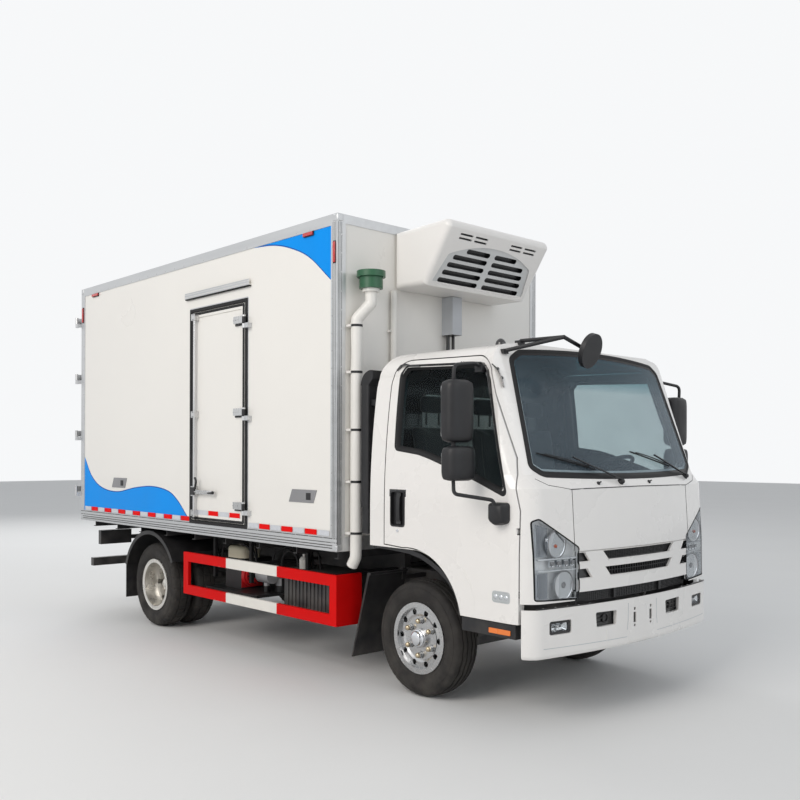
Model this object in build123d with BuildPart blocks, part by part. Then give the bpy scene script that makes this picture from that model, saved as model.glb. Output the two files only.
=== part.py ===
from build123d import *
import os
from math import asin, atan2, cos, degrees, hypot, pi, radians, sin, sqrt, tan

os.makedirs("parts", exist_ok=True)

# A light refrigerated truck: ladder chassis, tilting forward-control cab, insulated box body
# with a nose-mounted cooling unit. Millimetres. +Z is up, the cab faces -Y, the truck's left is +X.
# A "station" is a distance behind the front axle; stations become Y by adding front_axle_y.

# Overall layout
wheelbase = 3360
front_overhang = 1110  # front axle to the bumper's front face
rear_reach = 4790  # front axle to the rear buffers' faces
front_axle_y = front_overhang - (front_overhang + rear_reach) / 2
gap = 0.3  # seating gap between pieces that rest on each other
panel_gap = 7.0  # shut line round doors and lids

# Wheels
tyre_radius = 378
tyre_width = 205
rim_seat_radius = 206
rim_flange_radius = 231
rim_half_width = 88
rim_wall = 8
front_track = 1588
rear_track = 1525
dual_spacing = 236
wheel_bolt_radius = 111
wheel_bolts = 6
hand_hole_radius = 19
hand_holes = 10
hand_hole_circle = 172
spindle_radius = 30
bearing_clearance = 0.08

# Front axle and steering
kingpin_x = 700
kingpin_radius = 15
steering_arm = 125  # ball joints lie this far straight behind the king pins, so both wheels turn alike
tie_rod_height = 292
tie_rod_radius = 14

# Chassis
frame_half = 375
frame_top = 735
rail_height = 180
rail_flange = 62
rail_wall = 8
rail_front = -870
rail_rear = 4600
cross_stations = (-830, 900, 1750, 2700, 3900, 4560)
spring_width = 60
spring_leaf = 9
front_spring_half = 520
rear_spring_half = 600

# Cab
cab_half = 1000
cab_wall = 45
door_thickness = 58
door_reach = 64  # deepest that a door goes in from the cab's side, also round its front corner
door_seal_gap = 9.0  # room between a closed door and the lap behind it
door_hinge_x = 978
door_hinge_y = -905
door_hinge_heights = (760, 1120)
door_hinge_radius = 9
door_pin_radius = 4
cab_rear = 342
cab_top = 2300
cab_front = -1100
cowl_height = 1375
screen_base = 1455
screen_base_y = -1014
screen_lean = 0.348  # rearward travel of the screen for each unit of height
nose_radius = 4700
nose_corner = 165
rear_corner = 90
cab_floor = 895
cab_floor_rear = 1020
floor_step = -495
floor_riser = 30
floor_thickness = 40
cab_skirt = 985
door_bottom = 604
door_front = -925
door_rear = 198
door_top = 2178
corner_bottom = 722
firewall = -985
tilt_y = -900
tilt_z = 800

# Front panel
lid_half = 632
lid_bottom = 1005
lid_top = 1368
panel_bottom = 768
panel_thickness = 32

# Bumper
bumper_top = 690
bumper_bottom = 400
bumper_wall = 9
bumper_half = 995
bumper_end = -945

# Box body
box_half = 1070
box_front = 609
box_rear = 4720
box_bottom = 900
box_top = 3222
box_wall = 80
trim = 5
floor_thick = 90
floor_lining = 12
corner_post = 72
top_rail = 76
rear_post = 80
door_leaf = 80
door_clear = 10
side_door_front = 1735
side_door_rear = 2545
side_door_low = 1012
side_door_high = 2750
side_hinge_y = 1715
side_hinge_x = 1100
rear_hinge_x = 1095
rear_hinge_y = 4775
hinge_pin = 8

# Cooling unit
unit_half = 545
unit_bottom = 2760
unit_top = 3185
unit_front_low = 300
unit_front_high = 58
unit_brow = 3123
unit_panel_depth = 10
unit_slot_height = 36
# Slots of the sunk panel: height up the slope, inner end, outer end
unit_slots = ((52, 26, 432), (112, 26, 418), (172, 26, 402), (232, 26, 376), (290, 26, 268))

# Cab details
rear_window_z = 1790
rear_window_half = 560
rear_window_height = 400
grille_slots = ((998, 945, 392, 340), (902, 848, 372, 322))
lamp_bowls = ((742, 845, 82), (790, 1075, 66))
mirror_x = 1195
mirror_y = -637
mirror_heads = ((1640, 2000, 190, 82), (1420, 1612, 186, 90))

# Cab interior
driver_x = 520
steering_wheel_radius = 205
seat_places = ((520, 470), (-30, 360), (-560, 470))
bumper_corner = 130
lamp_rear = -946
lamp_depth = 78
dash_half = 834

# Guards
guard_x = 1030
guard_depth = 26
guard_front = 660
guard_rear = 2740
guard_low = 375
guard_high = 730
guard_bar = 78
guard_stays = (760, 1690, 2640)
arch_radius = 492
arch_wall = 6
arch_outer = 1028
arch_inner = 528

# Box details
bearers = 9
bottom_rail = 100
rear_opening_half = 1000
rear_sill = 1000
rear_hinge_heights = (1200, 1760, 2330, 2900)
side_hinge_heights = (2600, 1886, 1157)
rear_rods = (110, 620)
vent_radius = 40
underrun_half = 970
small_engine_y = 2300
tray_top = 452
handle_reach = 170

wheel_z = tyre_radius
rear_axle = wheelbase
frame_bottom = frame_top - rail_height
wall_outer = box_half - trim
wall_inner = wall_outer - box_wall
floor_top = box_bottom + trim + floor_thick
wall_foot = floor_top - floor_lining
roof_under = box_top - trim - box_wall


def side_plane(x=0):
    """Plane seen from the left: local x is the station, local y is the height."""
    return Plane(origin=(x, front_axle_y, 0), x_dir=(0, 1, 0), z_dir=(1, 0, 0))


def plan_plane(z=0):
    """Plane seen from above: local x is X, local y is the station."""
    return Plane(origin=(0, front_axle_y, z), x_dir=(1, 0, 0), z_dir=(0, 0, 1))


def cross_plane(station=0):
    """Plane seen from the front: local x is X, local y is the height, normal to the front."""
    return Plane(origin=(0, front_axle_y + station, 0), x_dir=(1, 0, 0), z_dir=(0, -1, 0))


def block(xs, ys, zs, mode=Mode.ADD):
    """Box between X limits, station limits and heights."""
    with Locations((min(xs), front_axle_y + ys[0], zs[0])):
        return Box(abs(xs[1] - xs[0]), ys[1] - ys[0], zs[1] - zs[0], align=(Align.MIN,) * 3, mode=mode)


def both(xs):
    """The X limits and their mirror image."""
    return (xs, (-xs[1], -xs[0]))


def bar(start, end, radius, mode=Mode.ADD):
    """Round bar between two points given as (X, station, height)."""
    a = Vector(start[0], front_axle_y + start[1], start[2])
    b = Vector(end[0], front_axle_y + end[1], end[2])
    along = Plane(origin=a, z_dir=b - a)
    with Locations(along):
        return Cylinder(radius, (b - a).length, align=(Align.CENTER, Align.CENTER, Align.MIN), mode=mode)


def tube_path(points, bend):
    """Wire of straight runs joined by arcs, through (X, station, height) points."""
    placed = [(x, front_axle_y + y, z) for x, y, z in points]
    with BuildLine() as path:
        FilletPolyline(*placed, radius=bend)
    return path.wires()[0]


def tube(points, radius, bend):
    """Round tube swept along a route."""
    route = tube_path(points, bend)
    with BuildSketch(Plane(origin=route @ 0, z_dir=route % 0)) as section:
        Circle(radius)
    return sweep(section.sketch, path=route)


def write(builder, name):
    builder.part.label = name
    export_step(builder.part, f"parts/{name}.step")


# Cab envelope
def nose_sag(x):
    """How far the nose arc has moved back at a given X."""
    return nose_radius - sqrt(nose_radius**2 - x**2)


def nose_stations(inset):
    """Height and front station of each cab section, bottom to top."""
    high = 2500
    slope_inset = inset * sqrt(1 + screen_lean**2)
    return (
        (450, cab_front - 4 + inset),
        (1000, cab_front + inset),
        (cowl_height, cab_front + 24 + inset),
        (screen_base, screen_base_y + slope_inset),
        (high, screen_base_y + slope_inset + screen_lean * (high - screen_base)),
    )


def cab_section(height, front, inset):
    """One horizontal outline of the cab: nose arc, two sides and the back."""
    half = cab_half - inset
    with BuildSketch(plan_plane(height)) as outline:
        with BuildLine():
            edge = front + nose_sag(half)
            ThreePointArc((-half, edge), (0, front), (half, edge))
            Line((half, edge), (half, cab_rear - inset))
            Line((half, cab_rear - inset), (-half, cab_rear - inset))
            Line((-half, cab_rear - inset), (-half, edge))
        make_face()
        corners = outline.vertices().group_by(Axis.Y)
        fillet(corners[0], max(nose_corner - inset, 20))
        fillet(corners[-1], max(rear_corner - inset, 20))
    return outline.sketch


def front_view(inset, bottom=450):
    """Front view of the cab at an inset: upright sides that lean in above the belt, and the roof."""
    half = cab_half - inset
    top = cab_top - inset
    with BuildSketch(cross_plane()) as front:
        with BuildLine():
            Line((0, bottom), (half, bottom))
            Line((half, bottom), (half, 1150))
            ThreePointArc((half, 1150), (half - 18, 1640), (half - 72, 2080))
            ThreePointArc((half - 72, 2080), (half - 108, top - 105), (half - 215, top - 62))
            ThreePointArc((half - 215, top - 62), (half - 600, top - 16), (0, top))
            Line((0, top), (0, bottom))
        make_face()
        mirror(about=Plane.YZ)
    return front.sketch


def cab_form(inset, bottom=450):
    """Solid of the cab's outside, moved inwards all round by inset."""
    sections = [cab_section(z, y, inset) for z, y in nose_stations(inset)]
    with BuildPart() as form:
        loft(sections, ruled=True)
        top = cab_top - inset
        with BuildSketch(side_plane()) as profile:
            with BuildLine():
                Line((-1300, bottom), (-1300, top - 95))
                Line((-1300, top - 95), (-900, top - 95))
                ThreePointArc((-900, top - 95), (-520, top - 22), (-150, top))
                Line((-150, top), (cab_rear - inset - 300, top - 12))
                ThreePointArc(
                    (cab_rear - inset - 300, top - 12),
                    (cab_rear - inset - 95, top - 90),
                    (cab_rear - inset, top - 300),
                )
                Line((cab_rear - inset, top - 300), (cab_rear - inset, bottom))
                Line((cab_rear - inset, bottom), (-1300, bottom))
            make_face()
        extrude(profile.sketch, amount=1200, both=True, mode=Mode.INTERSECT)
        extrude(front_view(inset, bottom), amount=1600, both=True, mode=Mode.INTERSECT)
    return form.part


skin = {}


def cab_skin(inset):
    """Cab envelope at an inset, made once and kept."""
    if inset not in skin:
        skin[inset] = cab_form(inset)
    return skin[inset]


def door_outline(margin=0.0):
    """Side view of the cab door, with its lower edge cut round the wheel."""
    with BuildSketch(side_plane()) as outline:
        with BuildLine():
            Polyline((-486, door_bottom), (door_front, door_bottom), (door_front, 1250), (-865, 1551))
            Line((-865, 1551), (-668, 2054))
            ThreePointArc((-668, 2054), (-625, 2138), (-545, door_top - 14))
            Line((-545, door_top - 14), (30, door_top))
            ThreePointArc((30, door_top), (149, 2129), (door_rear, 2010))
            Line((door_rear, 2010), (door_rear, cab_skirt))
            Line((door_rear, cab_skirt), (20, 975))
            ThreePointArc((20, 975), (-330, 868), (-486, door_bottom))
        make_face()
        if margin:
            offset(amount=margin, kind=Kind.INTERSECTION)
    return outline.sketch


def window_outline(margin=0.0):
    """Side view of the door's window, with the low front corner."""
    with BuildSketch(side_plane()) as outline:
        with BuildLine():
            Polyline((-828, 1345), (-652, 2014), (-590, 2108), (60, 2134), (112, 2080), (102, 1612))
            Line((102, 1612), (-106, 1586))
            ThreePointArc((-106, 1586), (-370, 1508), (-617, 1426))
            Line((-617, 1426), (-828, 1345))
        make_face()
        fillet(outline.vertices().group_by(Axis.Z)[0], 22)
        if margin:
            offset(amount=margin)
    return outline.sketch


def screen_outline(margin=0.0):
    """Front view of the windscreen."""
    with BuildSketch(cross_plane()) as outline:
        with BuildLine():
            Polyline((-876, 1500), (-805, 2146), (-722, 2196))
            ThreePointArc((-722, 2196), (0, 2222), (722, 2196))
            Polyline((722, 2196), (805, 2146), (876, 1500), (796, 1450))
            ThreePointArc((796, 1450), (0, 1432), (-796, 1450))
            Line((-796, 1450), (-876, 1500))
        make_face()
        if margin:
            offset(amount=margin)
    return outline.sketch


def lamp_outline(side, margin=0.0):
    """Front view of a headlamp: tall, with a sloped top."""
    with BuildSketch(cross_plane()) as outline:
        Polygon(
            (side * 600, 730),
            (side * 600, 1030),
            (side * 896, 1205),
            (side * 938, 1190),
            (side * 928, 742),
            align=None,
        )
        fillet(outline.vertices(), 14)
        if margin:
            offset(amount=margin)
    return outline.sketch


# Tyres and wheels
def wheel_plane(station):
    """Plane through a wheel's axis, local y measured from the axis."""
    return Plane(origin=(0, front_axle_y + station, wheel_z), x_dir=(1, 0, 0), z_dir=(0, -1, 0))


def wheel_axis(station):
    return Axis((0, front_axle_y + station, wheel_z), (1, 0, 0))


def tyre(centre_x, station):
    """One tyre: beads inside the rim flanges, bulged walls and a flat tread."""
    half = tyre_width / 2
    bead = rim_half_width - 13
    with BuildSketch(wheel_plane(station)) as section:
        with BuildLine(Plane(origin=(centre_x, 0, 0))):
            Polyline(
                (-bead, rim_flange_radius + 3),
                (-bead, rim_seat_radius),
                (bead, rim_seat_radius),
                (bead, rim_flange_radius + 3),
                (half, 296),
                (half - 22, tyre_radius),
                (22 - half, tyre_radius),
                (-half, 296),
                close=True,
            )
        make_face()
    revolve(section.sketch, axis=wheel_axis(station))


def rim_section(centre_x, station, side, dish, hub_face):
    """Half section of one wheel: barrel with flanges, and a disc from the barrel to the hub."""
    w = rim_half_width
    seat = rim_seat_radius - gap
    inner = seat - rim_wall
    lean = -16 if abs(dish - hub_face) > 20 else 0
    with BuildSketch(wheel_plane(station)) as section:
        with BuildLine():
            Polyline(
                (centre_x - w, inner),
                (centre_x + w, inner),
                (centre_x + w, rim_flange_radius),
                (centre_x + w - 11, rim_flange_radius),
                (centre_x + w - 11, seat),
                (centre_x - w + 11, seat),
                (centre_x - w + 11, rim_flange_radius),
                (centre_x - w, rim_flange_radius),
                close=True,
            )
        make_face()
        with BuildLine():
            Polyline(
                (dish, inner + 2),
                (dish - side * 14, inner + 2),
                (dish - side * 10, 150 - lean),
                (hub_face - side * 12, 138 - lean),
                (hub_face - side * 12, 60),
                (hub_face, 60),
                (hub_face, 140),
                (dish + side * 4, 156),
                close=True,
            )
        make_face()
    return section.sketch


for side, name in ((1, "left"), (-1, "right")):
    centre = side * front_track / 2
    with BuildPart() as front_tyre:
        tyre(centre, 0)
    write(front_tyre, f"tyre_front_{name}")

    with BuildPart() as front_rim:
        face_x = centre + side * 62
        revolve(rim_section(centre, 0, side, centre + side * 66, face_x), axis=wheel_axis(0))
        with BuildSketch(wheel_plane(0)) as hub:
            with BuildLine():
                Polyline(
                    (centre - side * 20, spindle_radius + bearing_clearance),
                    (face_x + side * 26, spindle_radius + bearing_clearance),
                    (face_x + side * 26, 52),
                    (face_x + side * 20, 62),
                    (face_x - side * 12, 62),
                    (face_x - side * 12, 120),
                    (centre - side * 40, 168),
                    (centre - side * 52, 168),
                    (centre - side * 52, 158),
                    (centre - side * 20, 110),
                    close=True,
                )
            make_face()
        revolve(hub.sketch, axis=wheel_axis(0))
        hole_plane = Plane(
            origin=(centre, front_axle_y, wheel_z), x_dir=(0, 1, 0), z_dir=(side, 0, 0)
        )
        with BuildSketch(hole_plane) as holes:
            with PolarLocations(hand_hole_circle, hand_holes):
                Circle(hand_hole_radius)
        extrude(holes.sketch, amount=100, mode=Mode.SUBTRACT)
        with BuildSketch(hole_plane.offset(62)) as nuts:
            with PolarLocations(wheel_bolt_radius, wheel_bolts, start_angle=30):
                RegularPolygon(17, 6)
        extrude(nuts.sketch, amount=26)
    write(front_rim, f"rim_front_{name}")

    outer = side * (rear_track + dual_spacing) / 2
    inner = side * (rear_track - dual_spacing) / 2
    middle = side * rear_track / 2
    with BuildPart() as rear_tyres:
        tyre(outer, rear_axle)
        tyre(inner, rear_axle)
    write(rear_tyres, f"tyres_rear_{name}")

    with BuildPart() as rear_rims:
        revolve(rim_section(outer, rear_axle, side, outer - side * 40, middle + side * 12), axis=wheel_axis(rear_axle))
        revolve(rim_section(inner, rear_axle, -side, inner + side * 40, middle - side * 12), axis=wheel_axis(rear_axle))
        with BuildSketch(wheel_plane(rear_axle)) as hub:
            with BuildLine():
                Polyline(
                    (middle - side * 130, spindle_radius + bearing_clearance),
                    (middle + side * 90, spindle_radius + bearing_clearance),
                    (middle + side * 90, 58),
                    (middle + side * 60, 76),
                    (middle + side * 12, 76),
                    (middle + side * 12, 138),
                    (middle - side * 12, 138),
                    (middle - side * 12, 120),
                    (middle - side * 40, 168),
                    (middle - side * 150, 168),
                    (middle - side * 150, 158),
                    (middle - side * 60, 150),
                    close=True,
                )
            make_face()
        revolve(hub.sketch, axis=wheel_axis(rear_axle))
        hole_plane = Plane(
            origin=(middle + side * 12, front_axle_y + rear_axle, wheel_z), x_dir=(0, 1, 0), z_dir=(side, 0, 0)
        )
        with BuildSketch(hole_plane) as holes:
            with PolarLocations(hand_hole_circle - 6, 6):
                Circle(hand_hole_radius + 6)
        extrude(holes.sketch, amount=110, both=True, mode=Mode.SUBTRACT)
        with BuildSketch(hole_plane) as nuts:
            with PolarLocations(wheel_bolt_radius, wheel_bolts, start_angle=30):
                RegularPolygon(17, 6)
        extrude(nuts.sketch, amount=30)
    write(rear_rims, f"rims_rear_{name}")

    with BuildPart() as knuckle:
        pin = side * kingpin_x
        web = pin + side * 44
        for low, high in ((274, 300), (456, 482)):
            block(sorted((pin - side * 30, web + side * 22)), (-36, 36), (low, high))
        block(sorted((web, web + side * 22)), (-46, 46), (274, 482))
        bar((pin, 0, 290), (pin, 0, 466), kingpin_radius)
        bar((web + side * 10, 0, wheel_z), (centre + side * 84, 0, wheel_z), spindle_radius)
        bar((web - side * 10, 0, wheel_z), (web - side * 3, 0, wheel_z), 160)
        bar((web - side * 4, 0, wheel_z), (web + side * 2, 0, wheel_z), 120)
        with BuildSketch(plan_plane(274)) as arm:
            Polygon(
                (pin - side * 28, 20), (pin + side * 28, 20), (pin + side * 20, steering_arm + 20),
                (pin - side * 20, steering_arm + 20), align=None,
            )
        extrude(arm.sketch, amount=-14)
        bar((pin, steering_arm, 261), (pin, steering_arm, 312), 9)
        # The brake plate is cut back round the beam end it swings over
        bar((pin, 0, 300 + gap), (pin, 0, 456 - gap), 40, mode=Mode.SUBTRACT)
        bar((pin, 0, 290), (pin, 0, 466), kingpin_radius)
    write(knuckle, f"knuckle_{name}")

with BuildPart() as tie_rod:
    ball = kingpin_x
    bar((-ball + 26, steering_arm, tie_rod_height), (ball - 26, steering_arm, tie_rod_height), tie_rod_radius)
    for side in (-1, 1):
        with BuildSketch(plan_plane(tie_rod_height - 12)) as eye:
            with Locations((side * ball, steering_arm)):
                Circle(26)
        extrude(eye.sketch, amount=24)
    for side in (-1, 1):
        bar((side * ball, steering_arm, 270), (side * ball, steering_arm, 330), 9 + bearing_clearance, mode=Mode.SUBTRACT)
write(tie_rod, "tie_rod")

# Axles
with BuildPart() as front_axle:
    with BuildSketch(cross_plane()) as beam:
        with BuildLine():
            Polyline(
                (-kingpin_x, 340), (-kingpin_x, 416), (-600, 416), (-480, 345), (480, 345), (600, 416),
                (kingpin_x, 416), (kingpin_x, 340), (600, 336), (470, 262), (-470, 262), (-600, 336),
                close=True,
            )
        make_face()
    extrude(beam.sketch, amount=28, both=True)
    for side in (-1, 1):
        bar((side * kingpin_x, 0, 301), (side * kingpin_x, 0, 455), 31)
        block(sorted((side * 310, side * 380)), (-70, 70), (330, 352))
    for side in (-1, 1):
        bar((side * kingpin_x, 0, 290), (side * kingpin_x, 0, 470), kingpin_radius + bearing_clearance, mode=Mode.SUBTRACT)
write(front_axle, "front_axle")

with BuildPart() as rear_axle_part:
    with BuildSketch(wheel_plane(rear_axle)) as housing:
        with BuildLine():
            Line((-590, 0), (-590, 150))
            Polyline((-590, 150), (-582, 150), (-582, 62), (-220, 62))
            ThreePointArc((-220, 62), (-150, 118), (-40, 148))
            Line((-40, 148), (40, 148))
            ThreePointArc((40, 148), (150, 118), (220, 62))
            Polyline((220, 62), (582, 62), (582, 150), (590, 150), (590, 0), (-590, 0))
        make_face()
    revolve(housing.sketch, axis=wheel_axis(rear_axle))
    for side in (-1, 1):
        bar((side * 580, rear_axle, wheel_z), (side * (rear_track / 2 + 86), rear_axle, wheel_z), spindle_radius)
        block(sorted((side * 312, side * 378)), (rear_axle - 65, rear_axle + 65), (wheel_z + 20, wheel_z + 70))
    bar((0, rear_axle - 230, wheel_z + 6), (0, rear_axle - 120, wheel_z), 62)
    bar((0, 1310, 486), (0, rear_axle - 225, wheel_z + 6), 42)
write(rear_axle_part, "rear_axle")


def leaf_pack(x, station, half, eye_z, centre_z, leaves):
    """Stacked leaves, the longest on top, ending in hanger plates under the rail."""
    rise = eye_z - centre_z
    with BuildPart() as pack:
        for number in range(leaves):
            reach = half * (1 - 0.2 * number)
            top = centre_z - number * spring_leaf
            lift = rise * (reach / half) ** 2
            with BuildSketch(side_plane(x - spring_width / 2)) as leaf:
                with BuildLine():
                    ThreePointArc((station - reach, top + lift), (station, top), (station + reach, top + lift))
                    Line((station + reach, top + lift), (station + reach, top + lift - spring_leaf - 1))
                    ThreePointArc(
                        (station + reach, top + lift - spring_leaf - 1),
                        (station, top - spring_leaf - 1),
                        (station - reach, top + lift - spring_leaf - 1),
                    )
                    Line((station - reach, top + lift - spring_leaf - 1), (station - reach, top + lift))
                make_face()
            extrude(leaf.sketch, amount=spring_width)
        for end in (-1, 1):
            y = station + end * (half - 4)
            block((x - 30, x + 30), (y - 24, y + 24), (eye_z - 26, frame_bottom - gap))
    return pack.part


with BuildPart() as leaf_springs:
    spring_x = frame_half - rail_flange / 2 - 1
    for side in (-1, 1):
        add(leaf_pack(side * spring_x, 0, front_spring_half, 470, 352 + gap + 4 * spring_leaf + 1, 4))
        add(leaf_pack(side * spring_x, rear_axle, rear_spring_half, 520, wheel_z + 70 + gap + 4 * spring_leaf + 1, 4))
write(leaf_springs, "leaf_springs")

# Ladder frame with the cab's tilt brackets and rear rest
with BuildPart() as chassis_frame:
    for side in (-1, 1):
        with BuildSketch(cross_plane(rail_front)) as rail:
            with BuildLine():
                outer = side * frame_half
                web = side * (frame_half - rail_wall)
                toe = side * (frame_half - rail_flange)
                Polyline(
                    (outer, frame_bottom), (outer, frame_top), (toe, frame_top), (toe, frame_top - rail_wall),
                    (web, frame_top - rail_wall), (web, frame_bottom + rail_wall), (toe, frame_bottom + rail_wall),
                    (toe, frame_bottom), close=True,
                )
            make_face()
        extrude(rail.sketch, amount=rail_front - rail_rear)
    for station in cross_stations:
        block((-frame_half + 4, frame_half - 4), (station - 30, station + 30), (frame_bottom + 70, frame_top - rail_wall))
        block((-300, 300), (station - 23, station + 40), (frame_bottom + 78, frame_top - rail_wall - 8), Mode.SUBTRACT)
    for side in (-1, 1):
        plate = sorted((side * (frame_half + 1), side * (frame_half + 25)))
        with BuildSketch(side_plane(plate[0])) as bracket:
            Polygon((tilt_y - 42, tilt_z + 10), (rail_front + 8, 600), (rail_front + 200, 600),
                    (rail_front + 200, 700), (tilt_y + 46, tilt_z + 20), align=None)
            with Locations((tilt_y, tilt_z)):
                Circle(44)
        extrude(bracket.sketch, amount=24)
        block(sorted((side * (frame_half - 4), side * (frame_half + 2))), (rail_front + 12, rail_front + 196), (604, 696))
        bar((side * (frame_half - 8), tilt_y, tilt_z), (side * (frame_half + 60), tilt_y, tilt_z), 16)
        # Rear cab rest, standing on the rail behind the engine
        block(sorted((side * 320, side * 372)), (205, 265), (frame_top - 2, 944))
    block((-372, 372), (210, 260), (900, 944))
write(chassis_frame, "chassis_frame")

with BuildPart() as engine_block:
    block((-262, 262), (-430, 190), (430, 900))
    block((-150, 150), (185, 862), (420, 700))
    bar((0, 855, 522), (0, 1309, 487), 44)
    for side in (-1, 1):
        block(sorted((side * 250, side * (frame_half - rail_wall - gap))), (-330, -210), (frame_bottom + rail_wall + gap, 640))
        block(sorted((side * 140, side * (frame_half - rail_wall - gap))), (480, 560), (frame_bottom + rail_wall + gap, 620))
write(engine_block, "engine_block")

# Cab shell
cavity_floor = cab_floor - floor_thickness
rear_underside = cab_floor_rear - floor_thickness - 15
with BuildPart() as cab_room:
    add(cab_skin(cab_wall))
    with BuildSketch(side_plane()) as room_side:
        with BuildLine():
            Polyline(
                (firewall + 30, cab_floor), (floor_step, cab_floor), (floor_step, cab_floor_rear),
                (800, cab_floor_rear), (800, 2500), (-1300, 2500), (-1300, cowl_height - 20),
                (firewall + 30, cowl_height - 20), close=True,
            )
        make_face()
    extrude(room_side.sketch, amount=1200, both=True, mode=Mode.INTERSECT)

with BuildPart() as cab_shell:
    add(cab_skin(0))
    with BuildSketch(side_plane()) as under:
        with BuildLine():
            Polyline(
                (-1400, 400), (-1400, corner_bottom), (firewall + 30, corner_bottom),
                (firewall + 30, cavity_floor), (floor_step + floor_riser, cavity_floor),
                (floor_step + floor_riser, rear_underside), (600, rear_underside), (600, 400), close=True,
            )
        make_face()
    extrude(under.sketch, amount=1200, both=True, mode=Mode.SUBTRACT)
    add(cab_room.part, mode=Mode.SUBTRACT)
    block((-lid_half - 4, lid_half + 4), (-1300, firewall), (400, lid_top + gap), Mode.SUBTRACT)
    # Corner panels carry on to the door's front edge below the floor
    with BuildPart(mode=Mode.PRIVATE) as corners:
        add(cab_skin(0))
        add(cab_skin(cab_wall), mode=Mode.SUBTRACT)
        block((-1200, 1200), (firewall + 26, door_front - panel_gap), (corner_bottom, cavity_floor + 2), Mode.INTERSECT)
        block((-880, 880), (-1100, -800), (600, 900), Mode.SUBTRACT)
    add(corners.part)
    for side in (-1, 1):
        with BuildPart(mode=Mode.PRIVATE) as lamp_pocket:
            extrude(lamp_outline(side, gap), amount=1300)
            block((-1200, 1200), (-1400, lamp_rear + 4), (600, 1400), Mode.INTERSECT)
        add(lamp_pocket.part, mode=Mode.SUBTRACT)
    # Door openings: cut as deep as the doors, with a lap all round behind them
    with BuildPart(mode=Mode.PRIVATE) as lap:
        extrude(door_outline(panel_gap + 14), amount=1200, both=True)
        extrude(door_outline(-24), amount=1200, both=True, mode=Mode.SUBTRACT)
        add(cab_skin(40), mode=Mode.INTERSECT)
        add(cab_skin(lamp_depth), mode=Mode.SUBTRACT)
        block((-780, 780), (-1400, 600), (400, 2400), Mode.SUBTRACT)
        block((-1200, 1200), (-1400, 600), (300, cavity_floor + 5), Mode.SUBTRACT)
    add(lap.part)
    with BuildPart(mode=Mode.PRIVATE) as door_cut:
        extrude(door_outline(panel_gap), amount=1200, both=True)
        add(cab_skin(door_thickness + door_seal_gap), mode=Mode.SUBTRACT)
        block((-780, 780), (-1400, 600), (400, 2400), Mode.SUBTRACT)
    add(door_cut.part, mode=Mode.SUBTRACT)
    # Hinge lugs from the lap, each with a pin that stands up into the door
    for side in (-1, 1):
        for low in door_hinge_heights:
            block(sorted((side * 914, side * door_hinge_x)), (door_hinge_y - door_hinge_radius, door_hinge_y + door_hinge_radius),
                  (low, low + 26))
            block(sorted((side * 914, side * 934)), (lamp_rear + 2, door_hinge_y), (low, low + 26))
            bar((side * door_hinge_x, door_hinge_y, low), (side * door_hinge_x, door_hinge_y, low + 26), door_hinge_radius)
            bar((side * door_hinge_x, door_hinge_y, low + 10), (side * door_hinge_x, door_hinge_y, low + 52), door_pin_radius)
    # Windscreen: a rebate for the pane, then the opening inside it
    with BuildPart(mode=Mode.PRIVATE) as rebate:
        extrude(screen_outline(1), amount=1300)
        add(cab_skin(9), mode=Mode.SUBTRACT)
    add(rebate.part, mode=Mode.SUBTRACT)
    extrude(screen_outline(-38), amount=1300, mode=Mode.SUBTRACT)
    # Rear window
    with BuildSketch(cross_plane(cab_rear + 20)) as back_window:
        with Locations((0, rear_window_z)):
            RectangleRounded(2 * rear_window_half, rear_window_height, 60)
    extrude(back_window.sketch, amount=120, mode=Mode.SUBTRACT)
    # Tilt arms down to the pivot, notches that pass the frame's brackets, and pads on the rear rest
    for side in (-1, 1):
        block(sorted((side * (frame_half - 6), side * (frame_half + 31))), (-1010, -930), (700, tilt_z + 20), Mode.SUBTRACT)
        arm_x = sorted((side * (frame_half + 32), side * (frame_half + 54)))
        with BuildSketch(side_plane(arm_x[0])) as arm:
            with BuildLine():
                Polyline((tilt_y - 40, tilt_z), (tilt_y - 40, tilt_z + 62), (tilt_y + 130, tilt_z + 62),
                         (tilt_y + 130, tilt_z), (tilt_y - 40, tilt_z))
            make_face()
            with Locations((tilt_y, tilt_z)):
                Circle(38)
                Circle(16 + bearing_clearance, mode=Mode.SUBTRACT)
        extrude(arm.sketch, amount=22)
        block(sorted((side * 322, side * 370)), (212, 258), (944 + gap, rear_underside + 2))
write(cab_shell, "cab_shell")

# Glass
with BuildPart() as cab_glass:
    extrude(screen_outline(0), amount=1300)
    add(cab_skin(1), mode=Mode.INTERSECT)
    add(cab_skin(8.7), mode=Mode.SUBTRACT)
    extrude(door_outline(panel_gap + 6), amount=1200, both=True, mode=Mode.SUBTRACT)
    with BuildSketch(cross_plane(cab_rear - 14)) as back_pane:
        with Locations((0, rear_window_z)):
            RectangleRounded(2 * (rear_window_half - gap), rear_window_height - 2 * gap, 60 - gap)
    extrude(back_pane.sketch, amount=6)
write(cab_glass, "cab_glass")

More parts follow.
